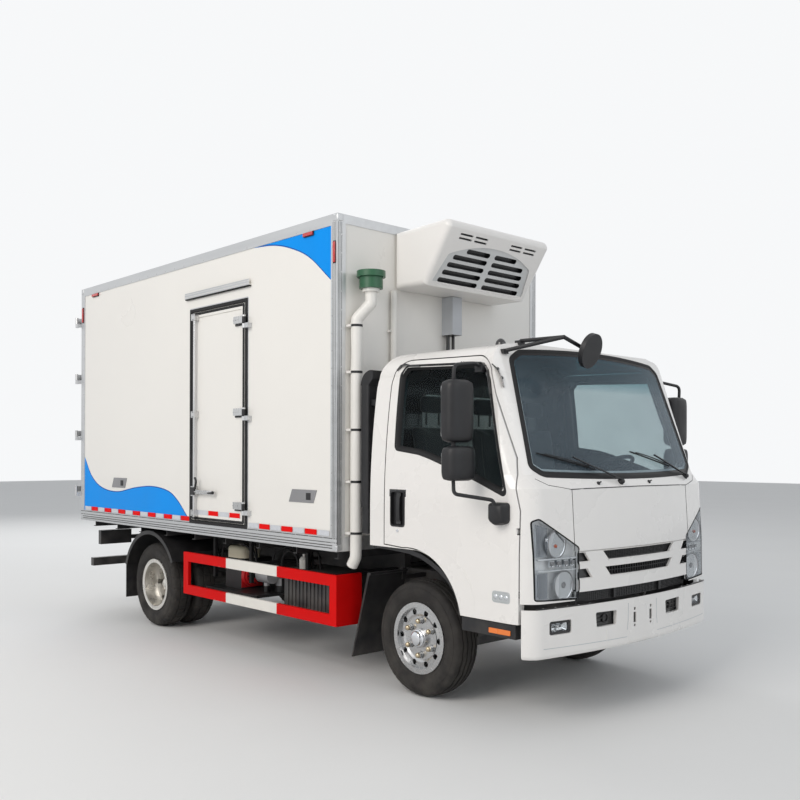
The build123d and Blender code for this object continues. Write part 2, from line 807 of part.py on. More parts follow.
# Front panel: plain lid above a two-bar grille
with BuildPart() as front_panel:
    add(cab_skin(0))
    block((-lid_half, lid_half), (-1300, -800), (panel_bottom, lid_top), Mode.INTERSECT)
    add(cab_skin(panel_thickness), mode=Mode.SUBTRACT)
    with BuildSketch(cross_plane()) as slots:
        for top, low, wide, narrow in grille_slots:
            with BuildLine():
                Polyline((-wide, top), (wide, top), (narrow, low), (-narrow, low), close=True)
            make_face()
            for side in (-1, 1):
                with BuildLine():
                    Polyline((side * 622, top), (side * (wide + 160), top), (side * (wide + 118), low),
                             (side * 622, low), close=True)
                make_face()
    extrude(slots.sketch, amount=1300, mode=Mode.SUBTRACT)
    # Shut line between lid and grille, and dark slats behind the slots
    with BuildPart(mode=Mode.PRIVATE) as groove:
        block((-lid_half - 10, lid_half + 10), (-1300, -800), (lid_bottom - 3, lid_bottom + 3))
        add(cab_skin(12), mode=Mode.SUBTRACT)
    add(groove.part, mode=Mode.SUBTRACT)
    with BuildPart(mode=Mode.PRIVATE) as backing:
        add(cab_skin(panel_thickness - 6))
        block((-lid_half + 6, lid_half - 6), (-1300, -800), (panel_bottom + 4, lid_bottom - 6), Mode.INTERSECT)
        add(cab_skin(panel_thickness), mode=Mode.SUBTRACT)
    add(backing.part)
    with BuildPart(mode=Mode.PRIVATE) as mesh:
        add(cab_skin(40))
        block((-lid_half + 2, lid_half - 2), (-1300, -800), (corner_bottom - 20, panel_bottom + 10), Mode.INTERSECT)
        add(cab_skin(58), mode=Mode.SUBTRACT)
    add(mesh.part)
    with BuildPart(mode=Mode.PRIVATE) as shelf:
        add(cab_skin(6.5))
        block((-lid_half + 2, lid_half - 2), (-1300, -800), (panel_bottom, panel_bottom + 10), Mode.INTERSECT)
        add(cab_skin(58), mode=Mode.SUBTRACT)
    add(shelf.part)
    for side in (-1, 1):
        extrude(lamp_outline(side, gap), amount=1300, mode=Mode.SUBTRACT)
write(front_panel, "front_panel")

# Headlamps: housing with reflector bowls, and a clear cover
with BuildPart() as headlamps:
    for side in (-1, 1):
        with BuildPart(mode=Mode.PRIVATE) as housing:
            extrude(lamp_outline(side, 0), amount=1300)
            add(cab_skin(7), mode=Mode.INTERSECT)
            block((-1100, 1100), (-1300, lamp_rear), (500, 1300), Mode.INTERSECT)
            add(cab_skin(lamp_depth), mode=Mode.SUBTRACT)
            for x, z, radius in lamp_bowls:
                with Locations(Plane(origin=(side * x, front_axle_y - 990, z), z_dir=(0, -1, 0))):
                    Cone(radius * 0.5, radius, 50, mode=Mode.SUBTRACT)
                    with Locations((0, 0, 25 + 100)):
                        Cylinder(radius, 200, mode=Mode.SUBTRACT)
        add(housing.part)
write(headlamps, "headlamps")

with BuildPart() as lamp_covers:
    for side in (-1, 1):
        with BuildPart(mode=Mode.PRIVATE) as cover:
            extrude(lamp_outline(side, 0), amount=1300)
            add(cab_skin(0.5), mode=Mode.INTERSECT)
            block((-1100, 1100), (-1300, lamp_rear), (500, 1300), Mode.INTERSECT)
            add(cab_skin(6.5), mode=Mode.SUBTRACT)
        add(cover.part)
write(lamp_covers, "lamp_covers")

# Cab doors, their glass and their mirrors
for side, name in ((1, "left"), (-1, "right")):
    with BuildPart() as door:
        extrude(door_outline(0), amount=side * 1300)
        add(cab_skin(0), mode=Mode.INTERSECT)
        add(cab_skin(door_thickness), mode=Mode.SUBTRACT)
        block(sorted((side * 796, side * 1200)), (-1400, 600), (400, 2400), Mode.INTERSECT)
        extrude(front_view(door_reach), amount=1600, both=True, mode=Mode.SUBTRACT)
        extrude(window_outline(0), amount=side * 1300, mode=Mode.SUBTRACT)
        # Handle recess and its pull
        with BuildSketch(side_plane(side * (cab_half - 26))) as recess:
            with Locations((72, 1219)):
                RectangleRounded(132, 226, 24)
        extrude(recess.sketch, amount=side * 60, mode=Mode.SUBTRACT)
        block(sorted((side * (cab_half - 30), side * (cab_half - 8))), (52, 92), (1120, 1322))
        # Hinge pockets, open to the front and inside, and the bores of the pins
        for low in door_hinge_heights:
            with BuildSketch(plan_plane(low - 6)) as pocket:
                Polygon((side * 900, -936), (side * 983, -936), (side * 988, -907), (side * 988, -894), (side * 900, -894),
                        align=None)
            extrude(pocket.sketch, amount=38, mode=Mode.SUBTRACT)
            bar((side * door_hinge_x, door_hinge_y, low + 20), (side * door_hinge_x, door_hinge_y, low + 54),
                door_pin_radius + bearing_clearance, mode=Mode.SUBTRACT)
    write(door, f"cab_door_{name}")

    with BuildPart() as pane:
        extrude(window_outline(-gap), amount=side * 1300)
        add(cab_skin(24), mode=Mode.INTERSECT)
        add(cab_skin(29), mode=Mode.SUBTRACT)
    write(pane, f"door_glass_{name}")

    with BuildPart() as mirrors:
        for low, high, width, depth in mirror_heads:
            with BuildSketch(plan_plane(low)) as head:
                with Locations((side * mirror_x, mirror_y)):
                    RectangleRounded(width, depth, depth / 2 - 4)
            extrude(head.sketch, amount=high - low)
        fillet(mirrors.edges().filter_by(GeomType.LINE, reverse=True).group_by(Axis.Z)[-1], 12)
        stay_x = side * (mirror_x + 30)
        tube([(side * 934, -600, 2090), (side * 1010, -605, 2110), (stay_x, -645, 2085), (stay_x, -640, 1990)], 11, 45)
        bar((stay_x, -640, 1700), (stay_x, -640, 1560), 11)
        tube([(stay_x, -640, 1450), (stay_x, -645, 1345), (side * 1060, -800, 1310), (side * 1045, -812, 1240)], 11, 28)
        with BuildSketch(side_plane(side * (cab_half + gap))) as foot:
            with BuildLine():
                Polyline((-872, 1296), (-752, 1296), (-752, 1190), (-800, 1160), (-872, 1180), close=True)
            make_face()
            fillet(foot.vertices(), 14)
        extrude(foot.sketch, amount=side * 66)
        block(sorted((side * 924, side * 972)), (-628, -572), (2062, 2104))
        add(door.part, mode=Mode.SUBTRACT)
    write(mirrors, f"mirrors_{name}")
# Cab interior
with BuildPart() as dashboard:
    with BuildSketch(side_plane(-dash_half)) as dash:
        with BuildLine():
            Polyline((-920, 1080), (-920, 1330), (-884, 1396))
            ThreePointArc((-884, 1396), (-760, 1428), (-668, 1372))
            Polyline((-668, 1372), (-612, 1190), (-640, 1080), (-920, 1080))
        make_face()
    extrude(dash.sketch, amount=2 * dash_half)
    with BuildSketch(side_plane(driver_x - 190)) as binnacle:
        with BuildLine():
            Polyline((-760, 1400), (-720, 1470), (-640, 1440), (-618, 1330), (-760, 1330), (-760, 1400))
        make_face()
    extrude(binnacle.sketch, amount=380)
    fillet(dashboard.edges().filter_by(Axis.X).group_by(Axis.Z)[-1], 16)
    # Brackets back to the firewall
    for side in (-1, 1):
        block(sorted((side * 600, side * 640)), (firewall + 30 + gap, -919), (1120, 1300))
write(dashboard, "dashboard")

with BuildPart() as steering_wheel:
    hub = Vector(driver_x, front_axle_y - 470, 1462)
    tilt = Plane(origin=hub, x_dir=(1, 0, 0), z_dir=(0, sin(radians(28)), cos(radians(28))))
    with Locations(tilt):
        Torus(steering_wheel_radius, 14)
        Cylinder(44, 30)
        for turn in (90, 210, 330):
            with Locations(Location((0, 0, 0), (0, 0, turn)) * Location((steering_wheel_radius / 2, 0, 0))):
                Box(steering_wheel_radius, 26, 12)
    bar((driver_x, -485, 1440), (driver_x, -632, 1368), 34)
    add(dashboard.part, mode=Mode.SUBTRACT)
write(steering_wheel, "steering_wheel")

with BuildPart() as seats:
    for x, width in seat_places:
        with BuildSketch(side_plane(x - width / 2)) as base:
            with BuildLine():
                Polyline((-400, cab_floor_rear + gap), (-400, 1150), (60, 1130), (60, cab_floor_rear + gap),
                         (-400, cab_floor_rear + gap))
            make_face()
        extrude(base.sketch, amount=width)
        with BuildSketch(side_plane(x - width / 2)) as squab:
            with BuildLine():
                Polyline((-425, 1150), (-425, 1235), (70, 1215), (70, 1130), (-425, 1150))
            make_face()
            fillet(squab.vertices(), 30)
        extrude(squab.sketch, amount=width)
        with BuildSketch(side_plane(x - width / 2 + 10)) as back:
            with BuildLine():
                Polyline((30, 1180), (150, 1800), (232, 1790), (140, 1160), (30, 1180))
            make_face()
            fillet(back.vertices(), 32)
        extrude(back.sketch, amount=width - 20)
        with BuildSketch(side_plane(x - 130)) as rest:
            with BuildLine():
                Polyline((150, 1840), (168, 1990), (240, 1980), (228, 1832), (150, 1840))
            make_face()
            fillet(rest.vertices(), 28)
        extrude(rest.sketch, amount=260)
        for post in (-60, 60):
            bar((x + post, 192, 1780), (x + post, 196, 1850), 6)
write(seats, "seats")

liner_top = rear_underside - gap
with BuildPart() as cab_trim:
    for side in (-1, 1):
        # Sill under the door with the step inside it
        block(sorted((side * 905, side * 990)), (-908, -492), (517, door_bottom - panel_gap))
        block(sorted((side * 890, side * 922)), (-860, -560), (560, cavity_floor - gap))
        # Wheel arch liner
        with BuildSketch(side_plane(side * 640)) as liner:
            with BuildLine():
                ThreePointArc((-494, 604), (-336, 853), (14, 958))
                Line((14, 958), (320, liner_top))
                Line((320, liner_top), (320, liner_top - 9))
                Line((320, liner_top - 9), (14, 949))
                ThreePointArc((14, 949), (-329, 846), (-484, 604))
                Line((-484, 604), (-494, 604))
            make_face()
        extrude(liner.sketch, amount=side * 262)
write(cab_trim, "cab_trim")

with BuildPart() as front_mirror:
    with Locations(Plane(origin=(-480, front_axle_y - 1050, 2190), z_dir=(0.12, -1, -0.35))):
        Cylinder(105, 30)
        with Locations((0, 0, -24)):
            Cylinder(34, 40)
    bar((-488, -1016, 2202), (-660, -990, 2262), 12)
    bar((-655, -992, 2262), (-842, -690, 2190), 12)
    bar((-655, -992, 2262), (-690, -690, 2262), 12)
    block((-860, -820), (-705, -660), (2172, 2200))
    block((-712, -668), (-706, -662), (2236, 2264))
    add(cab_skin(0), mode=Mode.SUBTRACT)
write(front_mirror, "front_mirror")

with BuildPart() as air_intake:
    with BuildSketch(plan_plane(1210)) as duct:
        with Locations((-905, 455)):
            RectangleRounded(110, 80, 18)
    extrude(duct.sketch, amount=830)
    with BuildSketch(plan_plane(1030)) as bellows:
        with Locations((-905, 455)):
            RectangleRounded(96, 70, 16)
    extrude(bellows.sketch, amount=181)
    with BuildSketch(side_plane(-955)) as cowl:
        with BuildLine():
            Line((415, 2038), (495, 2038))
            ThreePointArc((495, 2038), (462, 2112), (372, 2136))
            Line((372, 2136), (372, 2080))
            Line((372, 2080), (415, 2038))
        make_face()
    extrude(cowl.sketch, amount=100)
    for z in (1300, 1900):
        block((-930, -880), (cab_rear + gap, 418), (z, z + 40))
write(air_intake, "air_intake")

# Front bumper: a thin curved shell with recesses, on arms from the rails
def bumper_form(inset):
    """Solid of the bumper's outside, moved inwards by inset."""
    half = bumper_half - inset
    front = -front_overhang + inset
    with BuildPart() as form:
        with BuildSketch(plan_plane(bumper_bottom)) as outline:
            with BuildLine():
                edge = front + nose_sag(half)
                ThreePointArc((-half, edge), (0, front), (half, edge))
                Line((half, edge), (half, bumper_end + 300))
                Line((half, bumper_end + 300), (-half, bumper_end + 300))
                Line((-half, bumper_end + 300), (-half, edge))
            make_face()
            fillet(outline.vertices().group_by(Axis.Y)[0], bumper_corner - inset)
        extrude(outline.sketch, amount=bumper_top - bumper_bottom)
        block((-1100, 1100), (bumper_end, bumper_end + 400), (bumper_bottom - 10, bumper_top + 10), Mode.SUBTRACT)
    return form.part


with BuildPart() as front_bumper:
    add(bumper_form(0))
    fillet(front_bumper.faces().sort_by(Axis.Z)[0].edges().group_by(Axis.Y)[0], 30)
    with BuildPart(mode=Mode.PRIVATE) as hollow:
        add(bumper_form(bumper_wall))
        block((-1100, 1100), (-1300, -700), (bumper_bottom - 50, bumper_top + 50), Mode.INTERSECT)
    add(hollow.part, mode=Mode.SUBTRACT)
    for side in (-1, 1):
        with BuildSketch(cross_plane()) as recess:
            with BuildLine():
                Polyline((side * 272, 632), (side * 469, 637), (side * 460, 548), (side * 280, 545),
                         (side * 272, 632))
            make_face()
            fillet(recess.vertices(), 12)
            with Locations((side * 757, 580)):
                RectangleRounded(170, 78, 14)
            for z, tall in ((569, 64), (622, 18), (520, 14)):
                with Locations((side * 89, z)):
                    Rectangle(30 if tall > 30 else 20, tall)
        extrude(recess.sketch, amount=1300, mode=Mode.SUBTRACT)
    with BuildPart(mode=Mode.PRIVATE) as liners:
        add(bumper_form(bumper_wall))
        add(bumper_form(bumper_wall + 30), mode=Mode.SUBTRACT)
        with BuildPart(mode=Mode.PRIVATE) as pockets:
            for side in (-1, 1):
                block(sorted((side * 262, side * 482)), (-1200, -900), (535, 650))
                block(sorted((side * 655, side * 860)), (-1200, -900), (530, 630))
            block((-120, 120), (-1200, -900), (505, 640))
        add(pockets.part, mode=Mode.INTERSECT)
        with BuildPart(mode=Mode.PRIVATE) as wells:
            for side in (-1, 1):
                block(sorted((side * 274, side * 470)), (-1200, -900), (547, 636))
                block(sorted((side * 668, side * 846)), (-1200, -900), (542, 618))
            add(bumper_form(bumper_wall + 24), mode=Mode.SUBTRACT)
        add(wells.part, mode=Mode.SUBTRACT)
    add(liners.part)
    for side in (-1, 1):
        block(sorted((side * 310, side * 372)), (-1098, rail_front + 40), (bumper_bottom + 55, bumper_bottom + 125))
        block(sorted((side * 310, side * 366)), (rail_front + 4, rail_front + 90), (bumper_bottom + 120, frame_bottom - gap))
write(front_bumper, "front_bumper")
# Equipment on the frame
with BuildPart() as fuel_tank:
    with BuildSketch(cross_plane(760)) as tank:
        with Locations((660, 540)):
            RectangleRounded(430, 330, 55)
    extrude(tank.sketch, amount=-560)
    for station in (850, 1230):
        block((frame_half + gap, 470), (station - 20, station + 20), (frame_bottom + 20, 700))
write(fuel_tank, "fuel_tank")

with BuildPart() as battery_box:
    block((-905, -520), (760, 1460), (410, 700))
    fillet(battery_box.edges().filter_by(Axis.Z), 25)
    for number in range(14):
        block((-912, -515), (800 + number * 45, 816 + number * 45), (430, 690))
    block((-522, -frame_half - gap), (820, 1400), (590, 640))
write(battery_box, "battery_box")

with BuildPart() as exhaust:
    bar((520, 1900, 600), (520, 2520, 600), 105)
    fillet(exhaust.edges(), 22)
    tube([(520, 1905, 600), (520, 1560, 600), (455, 1400, 480), (300, 1200, 480), (300, 905, 480)], 30, 60)
    tube([(520, 2515, 600), (520, 2600, 600), (640, 2680, 520), (800, 2700, 470)], 30, 40)
    for station in (1990, 2430):
        block((frame_half + gap, 450), (station - 18, station + 18), (610, 650))
write(exhaust, "exhaust")

with BuildPart() as auxiliary_engine:
    block((-930, -430), (small_engine_y - 520, small_engine_y + 240), (430, tray_top))
    for station in (small_engine_y - 440, small_engine_y + 160):
        block((-470, -frame_half - gap), (station - 25, station + 25), (440, 620))
    # Crankcase with the cylinder inboard, fuel tank on top and recoil fan cover at the front
    block((-810, -600), (small_engine_y - 120, small_engine_y + 120), (tray_top - 1, 640))
    block((-610, -480), (small_engine_y - 80, small_engine_y + 80), (560, 690))
    with BuildSketch(plan_plane(700)) as tank:
        with Locations((-705, small_engine_y)):
            RectangleRounded(210, 250, 60)
    extrude(tank.sketch, amount=100)
    fillet(auxiliary_engine.edges().group_by(Axis.Z)[-1], 36)
    block((-760, -650), (small_engine_y - 90, small_engine_y + 90), (635, 705))
    with Locations(Plane(origin=(-720, front_axle_y + small_engine_y - 120, 560), z_dir=(0, -1, 0))):
        Cylinder(92, 40, align=(Align.CENTER, Align.CENTER, Align.MIN))
        Cylinder(78, 62, align=(Align.CENTER, Align.CENTER, Align.MIN))
    bar((-740, small_engine_y - 470, 580), (-740, small_engine_y - 300, 580), 58)
    bar((-740, small_engine_y - 385, tray_top - 1), (-740, small_engine_y - 385, 540), 24)
    bar((-640, small_engine_y - 440, tray_top - 1), (-640, small_engine_y - 440, 560), 46)
write(auxiliary_engine, "auxiliary_engine")

# Side guards: a framed window of flat bar on each side, on stays from the rails
with BuildPart() as side_guards:
    for side in (-1, 1):
        with BuildSketch(side_plane(side * (guard_x - guard_depth))) as guard:
            with Locations(((guard_front + guard_rear) / 2, (guard_low + guard_high) / 2)):
                Rectangle(guard_rear - guard_front, guard_high - guard_low)
                Rectangle(guard_rear - guard_front - 2 * guard_bar, guard_high - guard_low - 2 * guard_bar,
                          mode=Mode.SUBTRACT)
        extrude(guard.sketch, amount=side * guard_depth)
        block(sorted((side * (guard_x - 230), side * (guard_x - 1))), (guard_front, guard_front + 30), (guard_low, guard_high))
        for station in guard_stays:
            block(sorted((side * (frame_half + gap), side * (guard_x - guard_depth + 1))), (station - 20, station + 20),
                  (guard_high - 22, guard_high - 2))
write(side_guards, "side_guards")

# Mudguards: an arch over each pair of rear wheels with its flap, and a flap behind each front wheel
def arc_band(station, radius, first, last, wall):
    """Closed band of an arc about a wheel's axis, between two angles from the rear horizon."""
    def point(r, angle):
        return (station + r * cos(radians(angle)), wheel_z + r * sin(radians(angle)))

    middle = (first + last) / 2
    with BuildSketch(side_plane()) as band:
        with BuildLine():
            ThreePointArc(point(radius, first), point(radius, middle), point(radius, last))
            Line(point(radius, last), point(radius - wall, last))
            ThreePointArc(point(radius - wall, last), point(radius - wall, middle), point(radius - wall, first))
            Line(point(radius - wall, first), point(radius, first))
        make_face()
    return band.sketch


with BuildPart() as mudguards:
    for side in (-1, 1):
        band = arc_band(rear_axle, arch_radius, 18, 150, arch_wall)
        extrude(band.moved(Location((side * arch_inner, 0, 0))), amount=side * (arch_outer - arch_inner))
        lip = arc_band(rear_axle, arch_radius, 18, 150, 34)
        extrude(lip.moved(Location((side * (arch_outer - arch_wall), 0, 0))), amount=side * arch_wall)
        # Flap behind the rear wheels, and the stays of the arch
        top_y = rear_axle + (arch_radius - 4) * cos(radians(18))
        block(sorted((side * (arch_inner + 8), side * (arch_outer - 10))), (top_y - 2, top_y + 6), (215, 545))
        for station in (rear_axle - 420, rear_axle + 440):
            block(sorted((side * (frame_half + gap), side * (arch_inner + 40))), (station - 16, station + 16), (585, 615))
            block(sorted((side * (arch_inner + 4), side * (arch_inner + 36))), (station - 16, station + 16), (610, 660))
        # Flap and stay behind the front wheel
        with BuildSketch(side_plane(side * 560)) as flap:
            with BuildLine():
                Polyline((438, 760), (470, 760), (638, 160), (628, 160), (452, 740), (438, 748), (438, 760))
            make_face()
        extrude(flap.sketch, amount=side * 350)
        block(sorted((side * (frame_half + gap), side * 600)), (444, 474), (690, 720))
        block(sorted((side * 570, side * 602)), (446, 476), (700, 770))
write(mudguards, "mudguards")

# Rear underrun bar with the tail lamps above it
with BuildPart() as rear_underrun:
    block((-underrun_half, underrun_half), (4640, 4700), (430, 510))
    block((-underrun_half + 10, underrun_half - 10), (4650, 4710), (438, 502), Mode.SUBTRACT)
    for side in (-1, 1):
        block(sorted((side * (frame_half + gap), side * (frame_half + 45))), (4500, 4640 + 4), (440, 720))
        block(sorted((side * 600, side * 930)), (4560, 4615), (650, 790))
        block(sorted((side * 610, side * 920)), (4612, 4630), (660, 780))
        block(sorted((side * (frame_half + 40), side * 604)), (4565, 4605), (690, 730))
write(rear_underrun, "rear_underrun")
# Box body: sandwich panels inside aluminium rails
with BuildPart() as box_floor:
    block((-wall_outer, wall_outer), (box_front + trim, box_rear - rear_post), (box_bottom + trim, wall_foot))
    # Lining between the walls
    block((-wall_inner + gap, wall_inner - gap), (box_front + trim + box_wall + gap, box_rear - rear_post), (wall_foot - 1, floor_top))
    for side in (-1, 1):
        block(sorted((side * (frame_half - rail_flange), side * frame_half)), (box_front + 60, box_rear - rear_post),
              (frame_top + gap, box_bottom - 55))
    for number in range(bearers):
        station = box_front + 90 + number * (box_rear - box_front - 260) / (bearers - 1)
        block((-1000, 1000), (station - 22, station + 22), (box_bottom - 60, box_bottom + trim + 1))
        block((-1010, 1010), (station - 16, station + 30), (box_bottom - 54, box_bottom - 4), Mode.SUBTRACT)
write(box_floor, "box_floor")

with BuildPart() as box_front_wall:
    block((-wall_inner + gap, wall_inner - gap), (box_front + trim, box_front + trim + box_wall), (wall_foot, roof_under))
write(box_front_wall, "box_front_wall")

for side, name in ((1, "left"), (-1, "right")):
    with BuildPart() as wall:
        block(sorted((side * wall_inner, side * wall_outer)), (box_front + trim, box_rear - rear_post), (wall_foot, roof_under))
        if side < 0:
            block((-1200, -800), (side_door_front, side_door_rear), (side_door_low, side_door_high), Mode.SUBTRACT)
            # Drip rail over the door
            block((-wall_outer - 22, -wall_outer + 1), (1665, 2630), (2868, 2876))
            block((-wall_outer - 22, -wall_outer - 18), (1665, 2630), (2868, 2914))
    write(wall, f"box_{name}_wall")

with BuildPart() as box_roof:
    block((-wall_outer, wall_outer), (box_front + trim, box_rear - rear_post), (roof_under, box_top - trim))
write(box_roof, "box_roof")

# Rails: corner posts, side rails, front rails and the rear frame, each an angle round its edge
with BuildPart() as box_trim:
    front, rear = box_front, box_rear
    for side in (-1, 1):
        outer = side * box_half
        face = side * (box_half - trim)
        # Front corner post
        block(sorted((face, outer)), (front, front + corner_post), (box_bottom, box_top))
        block(sorted((side * (box_half - corner_post), outer)), (front, front + trim), (box_bottom, box_top))
        # Bottom and top side rails
        block(sorted((face, outer)), (front, rear), (box_bottom, box_bottom + bottom_rail))
        block(sorted((side * (box_half - 60), outer)), (front, rear), (box_bottom, box_bottom + trim))
        for rib in (28, 52, 76):
            block(sorted((outer - side, outer + side * 2)), (front, rear), (box_bottom + rib, box_bottom + rib + 6))
        block(sorted((face, outer)), (front, rear), (box_top - top_rail, box_top))
        block(sorted((side * (box_half - 60), outer)), (front, rear), (box_top - trim, box_top))
        # Rear post
        block(sorted((side * rear_opening_half, outer)), (rear - rear_post, rear), (box_bottom, box_top))
    block((-box_half, box_half), (front, front + trim), (box_bottom, box_bottom + 100))
    block((-box_half, box_half), (front, front + trim), (box_top - 64, box_top))
    block((-box_half, box_half), (front, front + 60), (box_top - trim, box_top))
    block((-box_half, box_half), (rear - rear_post, rear), (box_top - 72, box_top))
    block((-box_half, box_half), (rear - rear_post, rear), (box_bottom, rear_sill))
    for side in (-1, 1):
        # Rubber buffers on the sill
        block(sorted((side * 700, side * 820)), (rear - 1, rear_reach), (box_bottom + 4, box_bottom + 74))
        for z in rear_hinge_heights:
            hinge_side = sorted((side * (box_half - 40), side * (rear_hinge_x + 2)))
            block(hinge_side, (rear - 1, rear + 14), (z - 60, z - 24))
            block(sorted((side * (rear_hinge_x - 10), side * (rear_hinge_x + 10))), (rear + 10, rear_hinge_y), (z - 60, z - 24))
            bar((side * rear_hinge_x, rear_hinge_y, z - 60), (side * rear_hinge_x, rear_hinge_y, z - 24), 14)
            bar((side * rear_hinge_x, rear_hinge_y, z - 40), (side * rear_hinge_x, rear_hinge_y, z + 40), hinge_pin)
    for z in side_hinge_heights:
        block((-side_hinge_x - 4, -wall_outer - gap), (side_hinge_y - 62, side_hinge_y + 4), (z - 60, z - 24))
        bar((-side_hinge_x, side_hinge_y, z - 60), (-side_hinge_x, side_hinge_y, z - 24), 14)
        bar((-side_hinge_x, side_hinge_y, z - 40), (-side_hinge_x, side_hinge_y, z + 40), hinge_pin)
write(box_trim, "box_trim")

# Side door, flush in the right wall
leaf_face = box_half + 6
with BuildPart() as side_door:
    leaf = (side_door_front + door_clear, side_door_rear - 15)
    block((-leaf_face, -leaf_face + door_leaf), leaf, (side_door_low + door_clear, side_door_high - door_clear))
    block((-leaf_face - 2, -leaf_face + 8), (leaf[0] + 44, leaf[1] - 44),
          (side_door_low + door_clear + 44, side_door_high - door_clear - 44), Mode.SUBTRACT)
    block((-leaf_face + 2, -leaf_face + 9), (leaf[0] + 50, leaf[1] - 50),
          (side_door_low + door_clear + 50, side_door_high - door_clear - 50))
write(side_door, "side_door")

with BuildPart() as side_gear:
    for z in side_hinge_heights:
        bar((-side_hinge_x, side_hinge_y, z - 23), (-side_hinge_x, side_hinge_y, z + 40), 14)
        block((-side_hinge_x - 6, -side_hinge_x + 6), (side_hinge_y, side_hinge_y + 40), (z - 20, z + 36))
        block((-side_hinge_x - 6, -leaf_face - gap), (side_hinge_y + 30, side_hinge_y + 140), (z - 20, z + 36))
        bar((-side_hinge_x, side_hinge_y, z - 30), (-side_hinge_x, side_hinge_y, z + 45), hinge_pin + bearing_clearance, mode=Mode.SUBTRACT)
    rod_x = -leaf_face - 24
    bar((rod_x, 2450, 1030), (rod_x, 2450, side_door_high - 20), 11)
    for z in (2697, 1893, 1079):
        block((rod_x - 16, -leaf_face - gap), (2420, 2480), (z - 26, z + 26))
    block((rod_x - 18, -leaf_face - gap), (2425, 2475), (1220, 1300))
    block((rod_x - 14, rod_x + 2), (2130, 2450), (1240, 1270))
write(side_gear, "side_gear")

# Rear doors with their lock rods
for side, name in ((1, "left"), (-1, "right")):
    door_face = box_rear + 15
    with BuildPart() as rear_door:
        block(sorted((side * 12, side * (rear_opening_half - 5))), (door_face - door_leaf, door_face), (rear_sill + 8, box_top - 80))
    write(rear_door, f"rear_door_{name}")

    with BuildPart() as rear_gear:
        for z in rear_hinge_heights:
            bar((side * rear_hinge_x, rear_hinge_y, z - 23), (side * rear_hinge_x, rear_hinge_y, z + 40), 14)
            block(sorted((side * 850, side * rear_hinge_x)), (rear_hinge_y - 5, rear_hinge_y + 5), (z - 20, z + 36))
            block(sorted((side * 850, side * 960)), (door_face + gap, rear_hinge_y - 4), (z - 20, z + 36))
            bar((side * rear_hinge_x, rear_hinge_y, z - 30), (side * rear_hinge_x, rear_hinge_y, z + 45), hinge_pin + bearing_clearance, mode=Mode.SUBTRACT)
        for x in rear_rods:
            bar((side * x, door_face + 22, rear_sill + 30), (side * x, door_face + 22, box_top - 100), 11)
            for z in (1110, 1500, 2100, 2700, 3080):
                block(sorted((side * (x - 26), side * (x + 26))), (door_face + gap, door_face + 30), (z - 22, z + 22))
            reach = handle_reach if x < 300 else -handle_reach
            block(sorted((side * (x + reach), side * x)), (door_face + 22, door_face + 34), (1285, 1312))
    write(rear_gear, f"rear_gear_{name}")

# Cooling unit on the nose of the box
wall_front = box_front - gap
with BuildPart() as fridge_unit:
    with BuildSketch(side_plane(-unit_half)) as side_view:
        with BuildLine():
            Polyline((wall_front, unit_bottom), (unit_front_low, unit_bottom - 4), (unit_front_high, unit_brow))
            ThreePointArc((unit_front_high, unit_brow), (unit_front_high + 10, unit_top - 20), (unit_front_high + 52, unit_top))
            Polyline((unit_front_high + 52, unit_top), (wall_front, unit_top - 14), (wall_front, unit_bottom))
        make_face()
    extrude(side_view.sketch, amount=2 * unit_half)
    fillet(fridge_unit.faces().sort_by(Axis.X)[0].edges() + fridge_unit.faces().sort_by(Axis.X)[-1].edges(), 40)
    # Sunk panel under an arched brow on the sloping front, and the slots in it
    slope = Vector(0, unit_front_high - unit_front_low, unit_brow - unit_bottom + 4).normalized()
    face = Plane(
        origin=(0, front_axle_y + unit_front_low, unit_bottom - 4), x_dir=(1, 0, 0), z_dir=Vector(1, 0, 0).cross(slope)
    )
    with BuildSketch(face) as panel:
        with BuildLine():
            Polyline((-440, 250), (-492, 22), (492, 22), (440, 250))
            ThreePointArc((440, 250), (0, 352), (-440, 250))
        make_face()
        fillet(panel.vertices(), 26)
    extrude(panel.sketch, amount=-unit_panel_depth, mode=Mode.SUBTRACT)
    with BuildSketch(face) as slots:
        for up, start, end in unit_slots:
            for side in (-1, 1):
                with Locations((side * (start + end) / 2, up)):
                    SlotOverall(end - start, unit_slot_height)
    extrude(slots.sketch, amount=-unit_panel_depth - 30, mode=Mode.SUBTRACT)
    with BuildSketch(face) as brow_slots:
        for up in (374, 404):
            for x in (-344, -190, 190, 344):
                with Locations((x, up)):
                    Rectangle(128, 14)
    extrude(brow_slots.sketch, amount=-26, mode=Mode.SUBTRACT)
write(fridge_unit, "fridge_unit")

# Vent pipe with its cap filter, a second pipe, and the cooling unit's cable duct
wall_seat = box_front + trim - gap
with BuildPart() as wall_pipes:
    tube([(-860, 500, 2700), (-860, 500, 2610), (-940, 560, 2500), (-940, 560, 860), (-940, 600, 800)], vent_radius, 50)
    bar((-860, 500, 2690), (-860, 500, 2712), 60)
    bar((-860, 500, 2712), (-860, 500, 2790), 82)
    bar((-860, 500, 2790), (-860, 500, 2832), 100)
    for z in (2455, 2135, 1737, 1380, 1026):
        block((-992, -888), (box_front - 48, wall_seat), (z - 8, z + 8))
        block((-606, -534), (box_front - 30, wall_seat), (z - 8, z + 8))
    bar((-570, 582, 2742), (-570, 582, 930), 24)
    block((-48, 52), (500, wall_seat), (2470, unit_bottom - 5))
    bar((-20, 575, 2475), (-20, 575, 930), 14)
    bar((60 - 25, 575, 2475), (60 - 25, 575, 930), 12)
write(wall_pipes, "wall_pipes")
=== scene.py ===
"""Looks of the refrigerated truck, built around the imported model."""

from math import copysign, cos, pi, radians, sin

import bmesh
import bpy
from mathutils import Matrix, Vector
from mathutils.bvhtree import BVHTree


